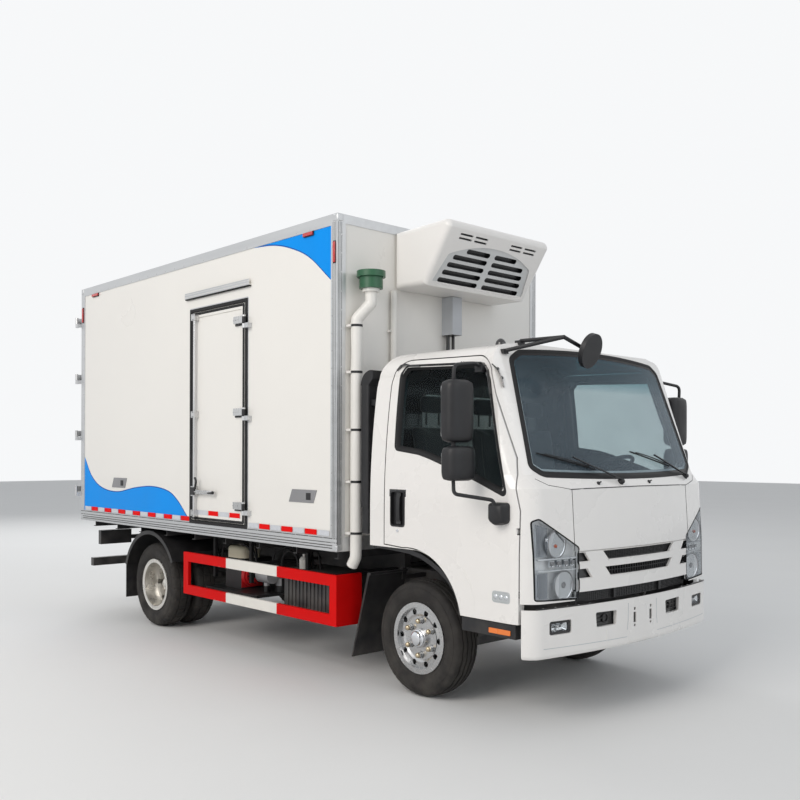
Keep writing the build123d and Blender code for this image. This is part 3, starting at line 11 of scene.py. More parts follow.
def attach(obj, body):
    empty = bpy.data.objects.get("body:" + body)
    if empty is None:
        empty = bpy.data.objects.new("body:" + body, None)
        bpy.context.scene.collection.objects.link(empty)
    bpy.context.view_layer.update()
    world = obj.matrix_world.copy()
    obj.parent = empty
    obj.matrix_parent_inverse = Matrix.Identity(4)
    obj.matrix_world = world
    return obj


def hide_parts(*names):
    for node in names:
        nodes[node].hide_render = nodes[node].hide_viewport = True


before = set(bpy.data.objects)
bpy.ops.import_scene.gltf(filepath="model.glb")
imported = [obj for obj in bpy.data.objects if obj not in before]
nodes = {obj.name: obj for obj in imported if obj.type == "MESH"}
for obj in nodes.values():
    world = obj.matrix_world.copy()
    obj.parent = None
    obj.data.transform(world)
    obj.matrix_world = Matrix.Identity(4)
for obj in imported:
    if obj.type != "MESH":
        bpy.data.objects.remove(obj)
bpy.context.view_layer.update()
SIDES = ((1, "left"), (-1, "right"))
FORWARD = (0, 1, 0)

# Places of the model in millimetres; a station counts rearwards from the front axle
FRONT_AXLE_Y = -1840.0
REAR_AXLE = 3360
FRONT_WHEEL, REAR_WHEELS = 794, (880.5, 644.5)
TYRE_RADIUS, HALF_RIM, STUD_RADIUS = 378.0, 88, 111
LID_NOSE, BUMPER_NOSE, NOSE_BOW = -1100, -1110, 9400
WALL, RAIL_FACE, REAR_FACE = 1065.0, 1070, 4735.1


def P(x, station, z):
    """Point from millimetres: x, distance behind the front axle, height."""
    return Vector((x, station + FRONT_AXLE_Y, z)) / 1000


# Materials
DUST_HEIGHTS, DUST_COLOR, ROUGH_VARY = (1.1, 0.1), (0.32, 0.29, 0.25, 1), 0.12


def feed(tree, node, inputs):
    """Sets each socket of a node, or links it from the output that feeds it."""
    for socket, value in inputs.items():
        if isinstance(value, bpy.types.NodeSocket):
            tree.links.new(value, node.inputs[socket])
        else:
            node.inputs[socket].default_value = value


def add(tree, kind, inputs=None, **settings):
    """New shader node of a kind, with its settings and its inputs."""
    node = tree.nodes.new("ShaderNode" + kind)
    for name, value in settings.items():
        setattr(node, name, value)
    feed(tree, node, inputs or {})
    return node


def ramp(tree, fac, stops):
    node = add(tree, "ValToRGB", {0: fac})
    for element, (at, value) in zip(node.color_ramp.elements, stops):
        element.position = at
        element.color = (value, value, value, 1) if isinstance(value, float) else (*value, 1)
    return node.outputs[0]


def maths(tree, operation, first, second):
    return add(tree, "Math", {0: first, 1: second}, operation=operation).outputs[0]


def vector(tree, operation, first, second):
    node = add(tree, "VectorMath", {0: first, 1: second}, operation=operation)
    return node.outputs["Value" if operation == "DOT_PRODUCT" else "Vector"]


def rise(tree, coords, low, high):
    """0 at one height, 1 at the other."""
    z = add(tree, "SeparateXYZ", {0: coords}).outputs["Z"]
    return add(tree, "MapRange", {"From Min": low, "From Max": high, "Value": z}).outputs[0]


def within(**limits):
    """Place test for paint_over: 1 where x, y and z lie between their (low, high) in metres, None for no end."""
    def where(tree, place):
        split = add(tree, "SeparateXYZ", {0: place.outputs["Object"]})
        total = 1.0
        for axis, pair in limits.items():
            for edge, test in zip(pair, ("GREATER_THAN", "LESS_THAN")):
                if edge is not None:
                    total = maths(tree, "MULTIPLY", maths(tree, test, split.outputs[axis.upper()], edge), total)
        return total
    return where


def facing_in(centre):
    """Place test: 1 on faces that look towards a centre, such as the inside of a cab."""
    def where(tree, place):
        away = vector(tree, "SUBTRACT", place.outputs["Object"], centre)
        return maths(tree, "LESS_THAN", vector(tree, "DOT_PRODUCT", away, place.outputs["Normal"]), 0.0)
    return where


def deeper(origin, normal, depth, bend=0.0, half=9.0, until=9.0, below=9.0, above=-9.0):
    """Place test: 1 at least so deep behind a plane, which bends back by x squared times bend, for x up to half."""
    def where(tree, place):
        away = vector(tree, "SUBTRACT", place.outputs["Object"], origin)
        inward = maths(tree, "MULTIPLY", vector(tree, "DOT_PRODUCT", away, normal), -1.0)
        split = add(tree, "SeparateXYZ", {0: place.outputs["Object"]})
        square = maths(tree, "MULTIPLY", split.outputs["X"], split.outputs["X"])
        inward = maths(tree, "SUBTRACT", inward, maths(tree, "MULTIPLY", square, bend))
        inside = 1.0
        for test, value, edge in (("GREATER_THAN", inward, depth), ("LESS_THAN", inward, until),
                                  ("LESS_THAN", split.outputs["Z"], below), ("GREATER_THAN", split.outputs["Z"], above),
                                  ("LESS_THAN", square, half * half)):
            inside = maths(tree, "MULTIPLY", maths(tree, test, value, edge), inside)
        return inside
    return where


def paint_over(mat, where, color):
    """Another colour on a material where the place test gives 1."""
    tree = mat.node_tree
    shader = tree.nodes["Principled BSDF"]
    cloud = tree.nodes["Noise Texture"].outputs["Fac"]
    low, high = tuple(c * 0.92 for c in color), tuple(min(1.0, c * 1.08) for c in color)
    mix = add(tree, "MixRGB", {"Fac": where(tree, tree.nodes["Texture Coordinate"]),
                               "Color1": shader.inputs["Base Color"].links[0].from_socket,
                               "Color2": ramp(tree, cloud, ((0.3, low), (0.7, high)))})
    feed(tree, shader, {"Base Color": mix.outputs[0]})


def material(name, color, rough, metal=0.0, grain=300, vary=0.06, vary_scale=3.0, bump=0.0, dust=0.0, coat=0.0,
             stretch=(1, 1, 1), sheen=0.0, spec=0.5):
    """Principled material with drifting colour, grained bump and road dust low down."""
    mat = bpy.data.materials.new(name)
    mat.use_nodes = True
    tree = mat.node_tree
    shader = tree.nodes["Principled BSDF"]
    coords = add(tree, "TexCoord").outputs["Object"]
    mapping = add(tree, "Mapping", {"Scale": stretch, 0: coords}).outputs[0]
    cloud = add(tree, "TexNoise", {"Scale": vary_scale, "Detail": 6, "Vector": mapping}).outputs["Fac"]
    low = tuple(c * (1 - vary) for c in color)
    high = tuple(min(1.0, c * (1 + vary * 0.6)) for c in color)
    tint = ramp(tree, cloud, ((0.3, low), (0.7, high)))
    if dust:
        patch = add(tree, "TexNoise", {"Scale": 9, "Detail": 8, "Vector": coords}).outputs["Fac"]
        amount = maths(tree, "MULTIPLY", rise(tree, coords, *DUST_HEIGHTS),
                       ramp(tree, patch, ((0.35, 0.0), (0.75, dust))))
        tint = add(tree, "MixRGB", {"Fac": amount, "Color1": tint, "Color2": DUST_COLOR}).outputs[0]
    low_r, high_r = max(0.02, rough - ROUGH_VARY * rough), min(1.0, rough + ROUGH_VARY)
    feed(tree, shader, {"Base Color": tint, "Metallic": metal, "Coat Weight": coat, "Coat Roughness": 0.08,
                        "Sheen Weight": sheen, "Specular IOR Level": spec,
                        "Roughness": ramp(tree, cloud, ((0.3, low_r), (0.7, high_r)))})
    if bump:
        fine = add(tree, "TexNoise", {"Scale": grain, "Detail": 4, "Vector": mapping}).outputs["Fac"]
        bumps = add(tree, "Bump", {"Strength": bump, "Distance": 0.002, "Height": fine})
        feed(tree, shader, {"Normal": bumps.outputs[0]})
    return mat


def glass(name, tint, haze, clear=0.95, rough=0.02, band=None):
    """Thin pane: mostly see-through, a little haze, shinier at a slant; band is (low z, high z, colour) of a strip."""
    mat = bpy.data.materials.new(name)
    mat.use_nodes = True
    tree = mat.node_tree
    gloss = tree.nodes["Principled BSDF"]
    feed(tree, gloss, {"Base Color": (*haze, 1), "Roughness": rough, "Specular IOR Level": 0.9})
    coords = add(tree, "TexCoord").outputs["Object"]
    smear = add(tree, "TexNoise", {"Scale": 4, "Vector": coords}).outputs["Fac"]
    color = ramp(tree, smear, ((0.3, tuple(c * 0.97 for c in tint)), (0.7, tint)))
    if band:
        low, high, shade = band
        color = add(tree, "MixRGB", {"Fac": rise(tree, coords, low, high), "Color1": color,
                                     "Color2": (*shade, 1)}).outputs[0]
    through = add(tree, "BsdfTransparent", {"Color": color})
    slant = maths(tree, "POWER", add(tree, "LayerWeight").outputs["Facing"], 4.0)
    share = add(tree, "MapRange", {"To Min": 1 - clear, "To Max": 0.9, "Value": slant}).outputs[0]
    mix = add(tree, "MixShader", {0: share, 1: through.outputs[0], 2: gloss.outputs[0]})
    tree.links.new(mix.outputs[0], tree.nodes["Material Output"].inputs[0])
    return mat


# Whites tinted warm: painted warm sunlight on white paint
WARM_WHITE, VOID = (0.82, 0.80, 0.775), (0.012, 0.012, 0.013)
ENAMEL = {"color": WARM_WHITE, "rough": 0.24, "vary": 0.012, "coat": 0.6, "dust": 0.05, "bump": 0.02, "grain": 60}
WHITE = material("cab_enamel", **ENAMEL)
CAB_WHITE = material("cab_enamel_lined_and_shaded", **ENAMEL)
# Inside of the cab painted near-black, partly its dark lining and partly painted shade in the closed cab; dark handle
# recesses
paint_over(CAB_WHITE, facing_in((0, -2.1, 1.6)), (0.022, 0.023, 0.026))
for low_x, high_x in ((0.90, 0.9992), (-0.9992, -0.90)):
    paint_over(CAB_WHITE, within(x=(low_x, high_x), y=(-1.845, -1.688), z=(1.096, 1.344)), VOID)
GRILLE_WHITE = material("grille_enamel", **ENAMEL)
# Faces over 13 mm behind the bowed nose and below 1 m height painted near-black: painted shade inside the grille slots
paint_over(GRILLE_WHITE, deeper((0, -2.940, 1.0), (0, -1, 0), 0.013, 0.1064, below=1.003), VOID)
BUMPER_WHITE = material("bumper_enamel", WARM_WHITE, 0.26, vary=0.012, coat=0.5, dust=0.08, bump=0.02, grain=60)
# Bumper faces over 24 mm behind the bowed nose, and near the middle those over 8 mm deep, painted near-black: painted
# shade in the towing recesses and the plate panel's slots
paint_over(BUMPER_WHITE, deeper((0, -2.950, 0.5), (0, -1, 0), 0.024, 0.1064, 0.86), VOID)
paint_over(BUMPER_WHITE, deeper((0, -2.950, 0.5), (0, -1, 0), 0.0082, 0.1064, 0.125), (0.02, 0.02, 0.022))
# Box panels tinted warm too: painted warm sunlight on the white gelcoat
PANEL = material("box_gelcoat", (0.83, 0.81, 0.77), 0.30, vary=0.015, vary_scale=1.2, coat=0.25, dust=0.06, bump=0.05,
                 grain=14)
UNIT_WHITE = material("unit_enamel", WARM_WHITE, 0.3, vary=0.02, coat=0.2, bump=0.03, grain=90)
UNIT_SLOPE = (0, -0.8348, -0.5505)
# On the unit's sloping front, faces over 4 mm behind the slope painted grey and over 12.5 mm near-black: painted shade
# in the grille recesses, darker the deeper
paint_over(UNIT_WHITE, deeper((0, -1.540, 2.756), UNIT_SLOPE, 0.004, 0, 0.5, 0.045, 3.12, 2.79), (0.60, 0.61, 0.61))
paint_over(UNIT_WHITE, deeper((0, -1.540, 2.756), UNIT_SLOPE, 0.0125, 0, 0.5, 0.045, 3.12, 2.79), (0.006, 0.006, 0.007))
UNIT_GREY = material("unit_grey", (0.50, 0.52, 0.53), 0.45, vary=0.04, bump=0.05)
RAIL = material("aluminium_rail", (0.60, 0.61, 0.62), 0.36, 0.8, vary=0.06, vary_scale=20, stretch=(1, 0.05, 1),
                bump=0.08, grain=220, dust=0.15)
BLACK_PAINT = material("chassis_paint", (0.03, 0.03, 0.032), 0.42, vary=0.35, vary_scale=8, bump=0.12, grain=120,
                       dust=0.3)
CASTING = material("engine_casting", (0.09, 0.09, 0.09), 0.6, 0.4, vary=0.3, vary_scale=9, bump=0.35, grain=160,
                   dust=0.4)
STEEL = material("silencer_steel", (0.40, 0.37, 0.34), 0.48, 0.8, vary=0.3, vary_scale=7, bump=0.1, dust=0.5)
STAINLESS = material("stainless", (0.62, 0.62, 0.62), 0.22, 1.0, vary=0.08, vary_scale=30, stretch=(1, 1, 0.06),
                     bump=0.05, grain=260)
CHROME = material("chrome", (0.74, 0.76, 0.79), 0.09, 1.0, vary=0.03)
ALLOY = material("polished_alloy", (0.50, 0.505, 0.51), 0.22, 1.0, vary=0.05, vary_scale=25, bump=0.03, grain=90)
SILVER = material("wheel_silver", (0.72, 0.70, 0.66), 0.26, 0.85, vary=0.1, vary_scale=12, bump=0.05, dust=0.2)
LAMP_SILVER = material("lamp_silver", (0.86, 0.87, 0.88), 0.28, 0.12, vary=0.06, vary_scale=14)
TAPE_WHITE = material("tape_white", (0.60, 0.62, 0.66), 0.3, vary=0.05, vary_scale=60)
BLACK = material("black_plastic", (0.016, 0.016, 0.018), 0.42, vary=0.25, vary_scale=10, bump=0.2, grain=500,
                 dust=0.15, spec=0.4)
BORDER = material("printed_border", (0.008, 0.008, 0.009), 0.35, vary=0.3, spec=0.25)
GLOSS_BLACK = material("gloss_black", (0.012, 0.012, 0.014), 0.12, vary=0.2, coat=0.5)
RUBBER = material("seal_rubber", (0.014, 0.014, 0.015), 0.62, vary=0.25, bump=0.1, grain=200, spec=0.3)
TYRE = material("tyre_rubber", (0.020, 0.0185, 0.018), 0.75, vary=0.2, vary_scale=14, bump=0.22, grain=260, dust=0.14,
                spec=0.3)
CLOTH = material("seat_cloth", (0.045, 0.047, 0.053), 0.9, vary=0.25, vary_scale=90, bump=0.6, grain=900, sheen=0.3)
TRIM_GREY = material("dash_grey", (0.075, 0.078, 0.082), 0.6, vary=0.12, bump=0.3, grain=600)
RED = material("guard_red", (0.80, 0.004, 0.004), 0.45, vary=0.06, bump=0.04, spec=0.08)
GUARD = material("guard_paint", (0.78, 0.76, 0.71), 0.45, vary=0.05, bump=0.04, spec=0.08)
paint_over(GUARD, within(y=(None, -0.47)), (0.64, 0.004, 0.004))
paint_over(GUARD, within(y=(0.23, None)), (0.64, 0.004, 0.004))
paint_over(GUARD, within(x=(-1.0035, 1.0035), y=(-1.149, None)), (0.025, 0.025, 0.027))
BLUE = material("stripe_blue", (0.0, 0.29, 0.87), 0.35, vary=0.04, spec=0.12)
DEEP_BLUE = material("stripe_deep_blue", (0.0, 0.09, 0.42), 0.35, vary=0.04, spec=0.12)
GREY_PLATE = material("grey_plate", (0.26, 0.26, 0.27), 0.4, vary=0.08)
ORANGE = material("orange_reflector", (0.85, 0.20, 0.02), 0.22, vary=0.08, coat=0.6)
RED_LENS = material("red_lens", (0.55, 0.015, 0.015), 0.16, vary=0.08, coat=0.8)
CLEAR_LENS = glass("clear_lens", (0.985, 0.99, 0.99), (0.3, 0.32, 0.34), 0.975)
PANE = glass("side_glass", (0.78, 0.83, 0.82), (0.05, 0.06, 0.07), 0.965)
SCREEN = glass("windscreen_glass", (0.84, 0.885, 0.90), (0.30, 0.38, 0.45), 0.86, 0.05,
               (1.97, 2.15, (0.12, 0.40, 0.46)))
BEIGE = material("tank_beige", (0.62, 0.58, 0.44), 0.4, vary=0.06, bump=0.05, dust=0.1)
paint_over(BEIGE, within(z=(None, 0.697)), (0.014, 0.014, 0.015))
paint_over(BEIGE, within(y=(-0.02, 0.17), z=(0.5, 0.66)), (0.42, 0.42, 0.43))
paint_over(BEIGE, within(y=(0.27, 0.341), z=(0.46, 0.66)), (0.62, 0.015, 0.02))
BRASS = material("brass_nut", (0.62, 0.52, 0.36), 0.24, 1.0, vary=0.15)
MIRROR = material("mirror_glass", (0.9, 0.91, 0.92), 0.03, 1.0, vary=0.01)
DARK = material("dark_inside", VOID, 0.7, vary=0.3, bump=0.2, spec=0.2)
WARM_BULB = material("bulb", (0.42, 0.08, 0.03), 0.2, vary=0.1, coat=0.8)
PIPE = material("pipe_white", (0.80, 0.78, 0.74), 0.32, vary=0.03, bump=0.04, grain=60)
paint_over(PIPE, within(x=(None, -0.74), z=(2.711, None)), (0.02, 0.10, 0.045))
paint_over(PIPE, within(x=(-0.08, 0.09), z=(None, 2.471)), (0.02, 0.02, 0.021))
paint_over(PIPE, within(x=(-0.08, 0.09), z=(2.471, None)), (0.50, 0.52, 0.55))

NODE_LOOKS = {
    CAB_WHITE: "cab_shell cab_door_left cab_door_right",
    GRILLE_WHITE: "front_panel",
    BUMPER_WHITE: "front_bumper",
    PANEL: "box_front_wall box_left_wall box_right_wall box_roof side_door rear_door_left rear_door_right",
    UNIT_WHITE: "fridge_unit",
    RAIL: "box_trim",
    BLACK_PAINT: "chassis_frame front_axle rear_axle leaf_springs knuckle_left knuckle_right tie_rod rear_underrun "
                 "battery_box fuel_tank box_floor",
    CASTING: "engine_block",
    STEEL: "exhaust",
    BEIGE: "auxiliary_engine",
    GUARD: "side_guards",
    BLACK: "mudguards cab_trim front_mirror air_intake mirrors_left mirrors_right steering_wheel",
    TRIM_GREY: "dashboard",
    SCREEN: "cab_glass",
    PANE: "door_glass_left door_glass_right",
    CLEAR_LENS: "lamp_covers",
    LAMP_SILVER: "headlamps",
    CLOTH: "seats",
    TYRE: "tyre_front_left tyre_front_right tyres_rear_left tyres_rear_right",
    ALLOY: "rim_front_left rim_front_right",
    SILVER: "rims_rear_left rims_rear_right",
    STAINLESS: "side_gear rear_gear_left rear_gear_right",
    PIPE: "wall_pipes",
}
for look, names in NODE_LOOKS.items():
    for name in names.split():
        for slot in nodes[name].material_slots:
            slot.material = look
        if not nodes[name].material_slots:
            nodes[name].data.materials.append(look)



def rounded(points, bend):
    """Open polyline with its inner corners turned into arcs of about that bend radius."""
    points = [Vector(p) for p in points]
    path = [points[0]]
    for before, corner, after in zip(points, points[1:], points[2:]):
        a, b = before - corner, after - corner
        turn = pi - a.angle(b)
        if turn < 0.02 or bend <= 0:
            path.append(corner)
            continue
        cut = min(bend * abs(sin(turn / 2) / cos(turn / 2)), 0.48 * min(a.length, b.length))
        start, end = corner + a.normalized() * cut, corner + b.normalized() * cut
        for t in (step / 6 for step in range(7)):
            path.append(start * (1 - t) ** 2 + corner * 2 * t * (1 - t) + end * t * t)
    path.append(points[-1])
    return path


class Shape:
    """Mesh under construction, in millimetres: x, distance behind the front axle, height."""

    def __init__(self):
        self.mesh = bmesh.new()

    def faces(self, verts, faces):
        made = [self.mesh.verts.new(P(*v)) for v in verts]
        for face in faces:
            self.mesh.faces.new([made[i] for i in face])
        return self

    def block(self, xs, stations, zs):
        (x0, x1), (s0, s1), (z0, z1) = sorted(xs), sorted(stations), sorted(zs)
        corners = [(x, s, z) for z in (z0, z1) for s in (s0, s1) for x in (x0, x1)]
        return self.faces(corners, [(0, 2, 3, 1), (4, 5, 7, 6), (0, 1, 5, 4), (2, 6, 7, 3), (0, 4, 6, 2), (1, 3, 7, 5)])

    def prism(self, points, axis, low, high):
        """Closed outline pushed from low to high along axis: x takes (station, z), y (x, z), z (x, station)."""
        def place(point, depth):
            a, b = point
            return {"x": (depth, a, b), "y": (a, depth, b), "z": (a, b, depth)}[axis]
        count = len(points)
        verts = [place(p, low) for p in points] + [place(p, high) for p in points]
        sides = [(i, (i + 1) % count, count + (i + 1) % count, count + i) for i in range(count)]
        return self.faces(verts, sides + [tuple(range(count))[::-1], tuple(range(count, 2 * count))])

    def sweep(self, path, ring):
        """Ring of (u, v) offsets carried along a path, turned as little as possible."""
        path = [Vector(p) for p in path]
        rows = []
        ahead = (path[1] - path[0]).normalized()
        side = ahead.cross(Vector((0, 0, 1)))
        if side.length < 0.05:
            side = ahead.cross(Vector((0, 1, 0)))
        side.normalize()
        for number, point in enumerate(path):
            before, after = path[max(0, number - 1)], path[min(len(path) - 1, number + 1)]
            tangent = (after - before).normalized()
            side = (side - tangent * side.dot(tangent)).normalized()
            up = side.cross(tangent)
            rows.append([point + side * u + up * v for u, v in ring])
        return self.rings(rows, ends=True)

    def tube(self, points, radius, bend=0, sides=12):
        ring = [(radius * cos(2 * pi * i / sides), radius * sin(2 * pi * i / sides)) for i in range(sides)]
        return self.sweep(rounded(points, bend), ring)

    def lathe(self, profile, centre, axis=(1, 0, 0), sides=48, closed=False):
        """Profile of (distance along axis, radius) turned about an axis through centre."""
        centre, axis = Vector(centre), Vector(axis).normalized()
        across = axis.orthogonal().normalized()
        other = axis.cross(across)
        rows = []
        for along, radius in profile:
            middle = centre + axis * along
            if radius < 0.01:
                rows.append([self.mesh.verts.new(P(*middle))])
                continue
            rows.append([
                self.mesh.verts.new(P(*(middle + (across * cos(a) + other * sin(a)) * radius)))
                for a in (2 * pi * i / sides for i in range(sides))
            ])
        pairs = list(zip(rows, rows[1:])) + ([(rows[-1], rows[0])] if closed else [])
        for low, high in pairs:
            for i in range(sides):
                j = (i + 1) % sides
                face = [low[i % len(low)], low[j % len(low)], high[j % len(high)], high[i % len(high)]]
                face = [v for k, v in enumerate(face) if v not in face[:k]]
                if len(face) > 2:
                    self.mesh.faces.new(face)
        if not closed:
            for row in (rows[0][::-1], rows[-1]):
                if len(row) > 2:
                    self.mesh.faces.new(row)
        return self

    def disc(self, centre, axis, radius, thick, sides=32, edge=0.0):
        """Round plate from centre along axis, its far edge softened."""
        profile = [(0, radius), (thick - edge, radius)]
        if edge:
            profile.append((thick - edge * 0.3, radius - edge * 0.3))
        profile += [(thick, radius - edge), (thick, 0)]
        return self.lathe([(0, 0)] + profile, centre, axis, sides)

    def bolt(self, centre, axis, size):
        """Hexagon head with a washer."""
        height = size * 0.6
        self.lathe([(0, 0), (0, size * 1.25), (size * 0.15, size * 1.25), (size * 0.15, size * 0.9)], centre, axis, 20)
        return self.lathe(
            [(0, size * 0.9), (height * 0.85, size * 0.9), (height, size * 0.75), (height, 0)], centre, axis, 6
        )

    def dome(self, centre, axis, radius, height, sides=20, rings=5):
        """Low dome, such as a rivet or a lens."""
        arc = [(height * sin(pi / 2 * i / rings), radius * cos(pi / 2 * i / rings)) for i in range(rings + 1)]
        return self.lathe([(-0.5, 0), (-0.5, radius)] + arc, centre, axis, sides)

    def rings(self, rows, shut=False, ends=False):
        """Strips between closed rows of points; shut joins the last row to the first, ends fills both."""
        made, count = [[self.mesh.verts.new(P(*p)) for p in row] for row in rows], len(rows[0])
        for low, high in list(zip(made, made[1:])) + ([(made[-1], made[0])] if shut else []):
            for i in range(count):
                j = (i + 1) % count
                self.mesh.faces.new((low[i], low[j], high[j], high[i]))
        if ends:
            self.mesh.faces.new(made[0][::-1])
            self.mesh.faces.new(made[-1])
        return self

    def out(self, name, look, body, bevel=0.0, smooth=35, instead=()):
        """Object from the mesh, riding on a body; bevel in millimetres."""
        bmesh.ops.recalc_face_normals(self.mesh, faces=self.mesh.faces)
        data = bpy.data.meshes.new(name)
        self.mesh.to_mesh(data)
        self.mesh.free()
        piece = bpy.data.objects.new(name, data)
        bpy.context.scene.collection.objects.link(piece)
        data.materials.append(look)
        if smooth:
            data.shade_smooth()
            data.set_sharp_from_angle(angle=radians(smooth))
        if bevel:
            rounding = piece.modifiers.new("rounding", "BEVEL")
            rounding.width = bevel / 1000
            rounding.segments = 2
            rounding.limit_method = "ANGLE"
            rounding.angle_limit = radians(40)
        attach(piece, body)
        if instead:
            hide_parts(*instead)
        return piece


def surface(*pieces):
    """Ray target made of CAD nodes, by name, or of pieces of the scene, in the row frame."""
    verts, faces = [], []
    for piece in pieces:
        piece = nodes[piece] if isinstance(piece, str) else piece
        offset = len(verts)
        verts += [piece.matrix_world @ v.co for v in piece.data.vertices]
        faces += [[offset + i for i in face.vertices] for face in piece.data.polygons]
    return BVHTree.FromPolygons(verts, faces)


def hit(target, start, direction):
    """Point and outward normal, in millimetres, where a ray meets the target; None where it misses."""
    direction = Vector(direction).normalized()
    place, normal, _, _ = target.ray_cast(P(*start), direction)
    if place is None:
        return None
    if normal.dot(direction) > 0:
        normal = -normal
    return Vector((place.x * 1000, place.y * 1000 - FRONT_AXLE_Y, place.z * 1000)), normal


def seen(target, a, b, view):
    """Hit from 2 m off in a view along x, at (station, z), or along y, at (x, z)."""
    return hit(target, (-2000 * view[0], a, b) if view[0] else (a, -2000 * view[1], b), view)


def subdivide(points, step, closed=False):
    """Polyline with points no further apart than step."""
    points = [Vector(p) for p in points]
    ends = points[1:] + (points[:1] if closed else [])
    dense = []
    for a, b in zip(points, ends):
        pieces = max(1, int((b - a).length / step))
        dense += [a + (b - a) * (i / pieces) for i in range(pieces)]
    return dense if closed else dense + [points[-1]]


# Studio
def studio():
    bpy.ops.mesh.primitive_plane_add(size=90, location=(0, 0, -0.0005))
    floor = bpy.context.object
    floor.name = "floor"
    floor_look = material("floor_pale", (0.80, 0.80, 0.79), 0.8, vary=0.02, vary_scale=0.6, bump=0.05, grain=8)
    floor.data.materials.append(floor_look)
    world = bpy.data.worlds.new("studio")
    bpy.context.scene.world = world
    world.use_nodes = True
    tree = world.node_tree
    sky = tree.nodes["Background"]
    sky.inputs[0].default_value = (0.86, 0.89, 0.93, 1)
    sky.inputs[1].default_value = 0.54
    white = add(tree, "Background", {0: (0.93, 0.94, 0.95, 1)})
    rays = add(tree, "LightPath").outputs
    direct = maths(tree, "ADD", rays["Is Camera Ray"], rays["Is Glossy Ray"])
    direct = maths(tree, "ADD", direct, rays["Is Transmission Ray"])
    mix = add(tree, "MixShader", {0: direct, 1: sky.outputs[0], 2: white.outputs[0]})
    tree.links.new(mix.outputs[0], tree.nodes["World Output"].inputs[0])
    for name, at, aim, size, power, color in (
        ("key", (-13, -3, 9), (0, -0.5, 1.4), 8, 1080, (1, 0.955, 0.905)),
        ("fill", (1, -14, 7), (0, -2, 1.4), 9, 260, (0.90, 0.95, 1)),
        ("back", (3, 12, 9), (0, 1, 1.5), 8, 480, (1, 1, 1)),
    ):
        lamp = bpy.data.lights.new(name, "AREA")
        lamp.size, lamp.energy, lamp.color = size, power, color
        lamp_object = bpy.data.objects.new(name, lamp)
        bpy.context.scene.collection.objects.link(lamp_object)
        lamp_object.location = at
        lamp_object.rotation_euler = (Vector(aim) - Vector(at)).to_track_quat("-Z", "Y").to_euler()


def photo_camera():
    """Camera solved from the photo."""
    data = bpy.data.cameras.new("photo_camera")
    data.sensor_width = 36
    data.lens = 41.27
    data.shift_y = 0.0656
    data.clip_end = 200
    data.dof.use_dof = False
    camera = bpy.data.objects.new("photo_camera", data)
    camera.location = (-5.016, -6.119, 1.575)
    camera.rotation_euler = (radians(90.069), radians(-0.175), radians(-42.848))
    bpy.context.scene.collection.objects.link(camera)
    bpy.context.scene.camera = camera


studio()
photo_camera()


# Tyres: crowned tread with grooves, ribbed walls, beads at the rim
def tyre_piece(name, node_names, centres, station, body, pattern):
    """Tyres of one body: rows of vertices round the wheel, grooves pressed into the tread rows."""
    grooves = {"road": (-54, -19, 19, 54), "mixed": (-36, 36)}[pattern]
    steps = 288
    shape = Shape()
    for centre in centres:
        rows = [(-75, 207), (-77, 226), (-82, 236), (-90, 250), (-98, 270), (-102, 292), (-102.3, 300), (-101, 316),
                (-96.5, 336), (-92, 348)]
        tread = [(-90, 353), (-86, 360), (-79, 364.5)]
        flat = [-72, -66]
        for g in grooves:
            flat += [g - 6.5, g - 4.5, g + 4.5, g + 6.5]
        flat += [0.0, -44.0, 44.0, 66, 72] if pattern == "mixed" else [-36.0, 0.0, 36.0, 66, 72]
        flat.sort()
        tread += [(a, 367.4 + (TYRE_RADIUS - 367.6) * (1 - (a / 74) ** 2)) for a in flat]
        tread += [(79, 364.5), (86, 360), (90, 353)]
        profile = rows + tread + [(-a, r) for a, r in rows[::-1]] + [(70, 207), (-70, 207)]
        grid = []
        for along, radius in profile:
            row = []
            for i in range(steps):
                angle = 2 * pi * i / steps
                a, r = along, radius
                near = min(grooves, key=lambda g: abs(g - along))
                if abs(along) < 74 and radius > 360:
                    zig = abs((i % 12) / 6 - 1) * 2 - 1
                    in_groove = abs(along - near) < 5.5
                    a += zig * (3.2 if abs(along - near) < 8 else 0)
                    if in_groove:
                        r -= 9
                    elif pattern == "mixed" and i % 12 in (0, 1) and abs(along) < 60:
                        r -= 6.5
                elif radius > 350 and abs(along) >= 74 and radius < 368:
                    if i % 12 in ((5, 6) if along > 0 else (0, 1)) and pattern == "mixed":
                        r -= 7
                    elif pattern == "road" and i % 6 == 0:
                        r -= 2.5
                elif 292 <= radius <= 336 and i % 4 == 0:
                    a *= 0.996
                row.append((centre + a, station + r * cos(angle), TYRE_RADIUS + r * sin(angle)))
            grid.append(row)
        shape.rings(grid, shut=True)
        # Moulded rings on both walls
        for side in (-1, 1):
            for radius, wide, at in ((246, 2.4, 87.6), (262, 1.6, 95.2), (328, 2.0, 99.2)):
                shape.lathe([(side * (at - 3), radius - wide), (side * (at + 0.8), radius - wide * 0.6),
                             (side * (at + 0.8), radius + wide * 0.6), (side * (at - 3), radius + wide)],
                            (centre, station, TYRE_RADIUS), (1, 0, 0), 96, closed=True)
    return shape.out(name, TYRE, body, smooth=28, instead=node_names)


for side, word in SIDES:
    tyre_piece(f"front_tyre_{word}", [f"tyre_front_{word}"], [side * FRONT_WHEEL], 0, f"wheel_front_{word}", "road")
    tyre_piece(f"rear_tyres_{word}", [f"tyres_rear_{word}"], [side * x for x in REAR_WHEELS], REAR_AXLE,
               f"wheels_rear_{word}", "mixed")

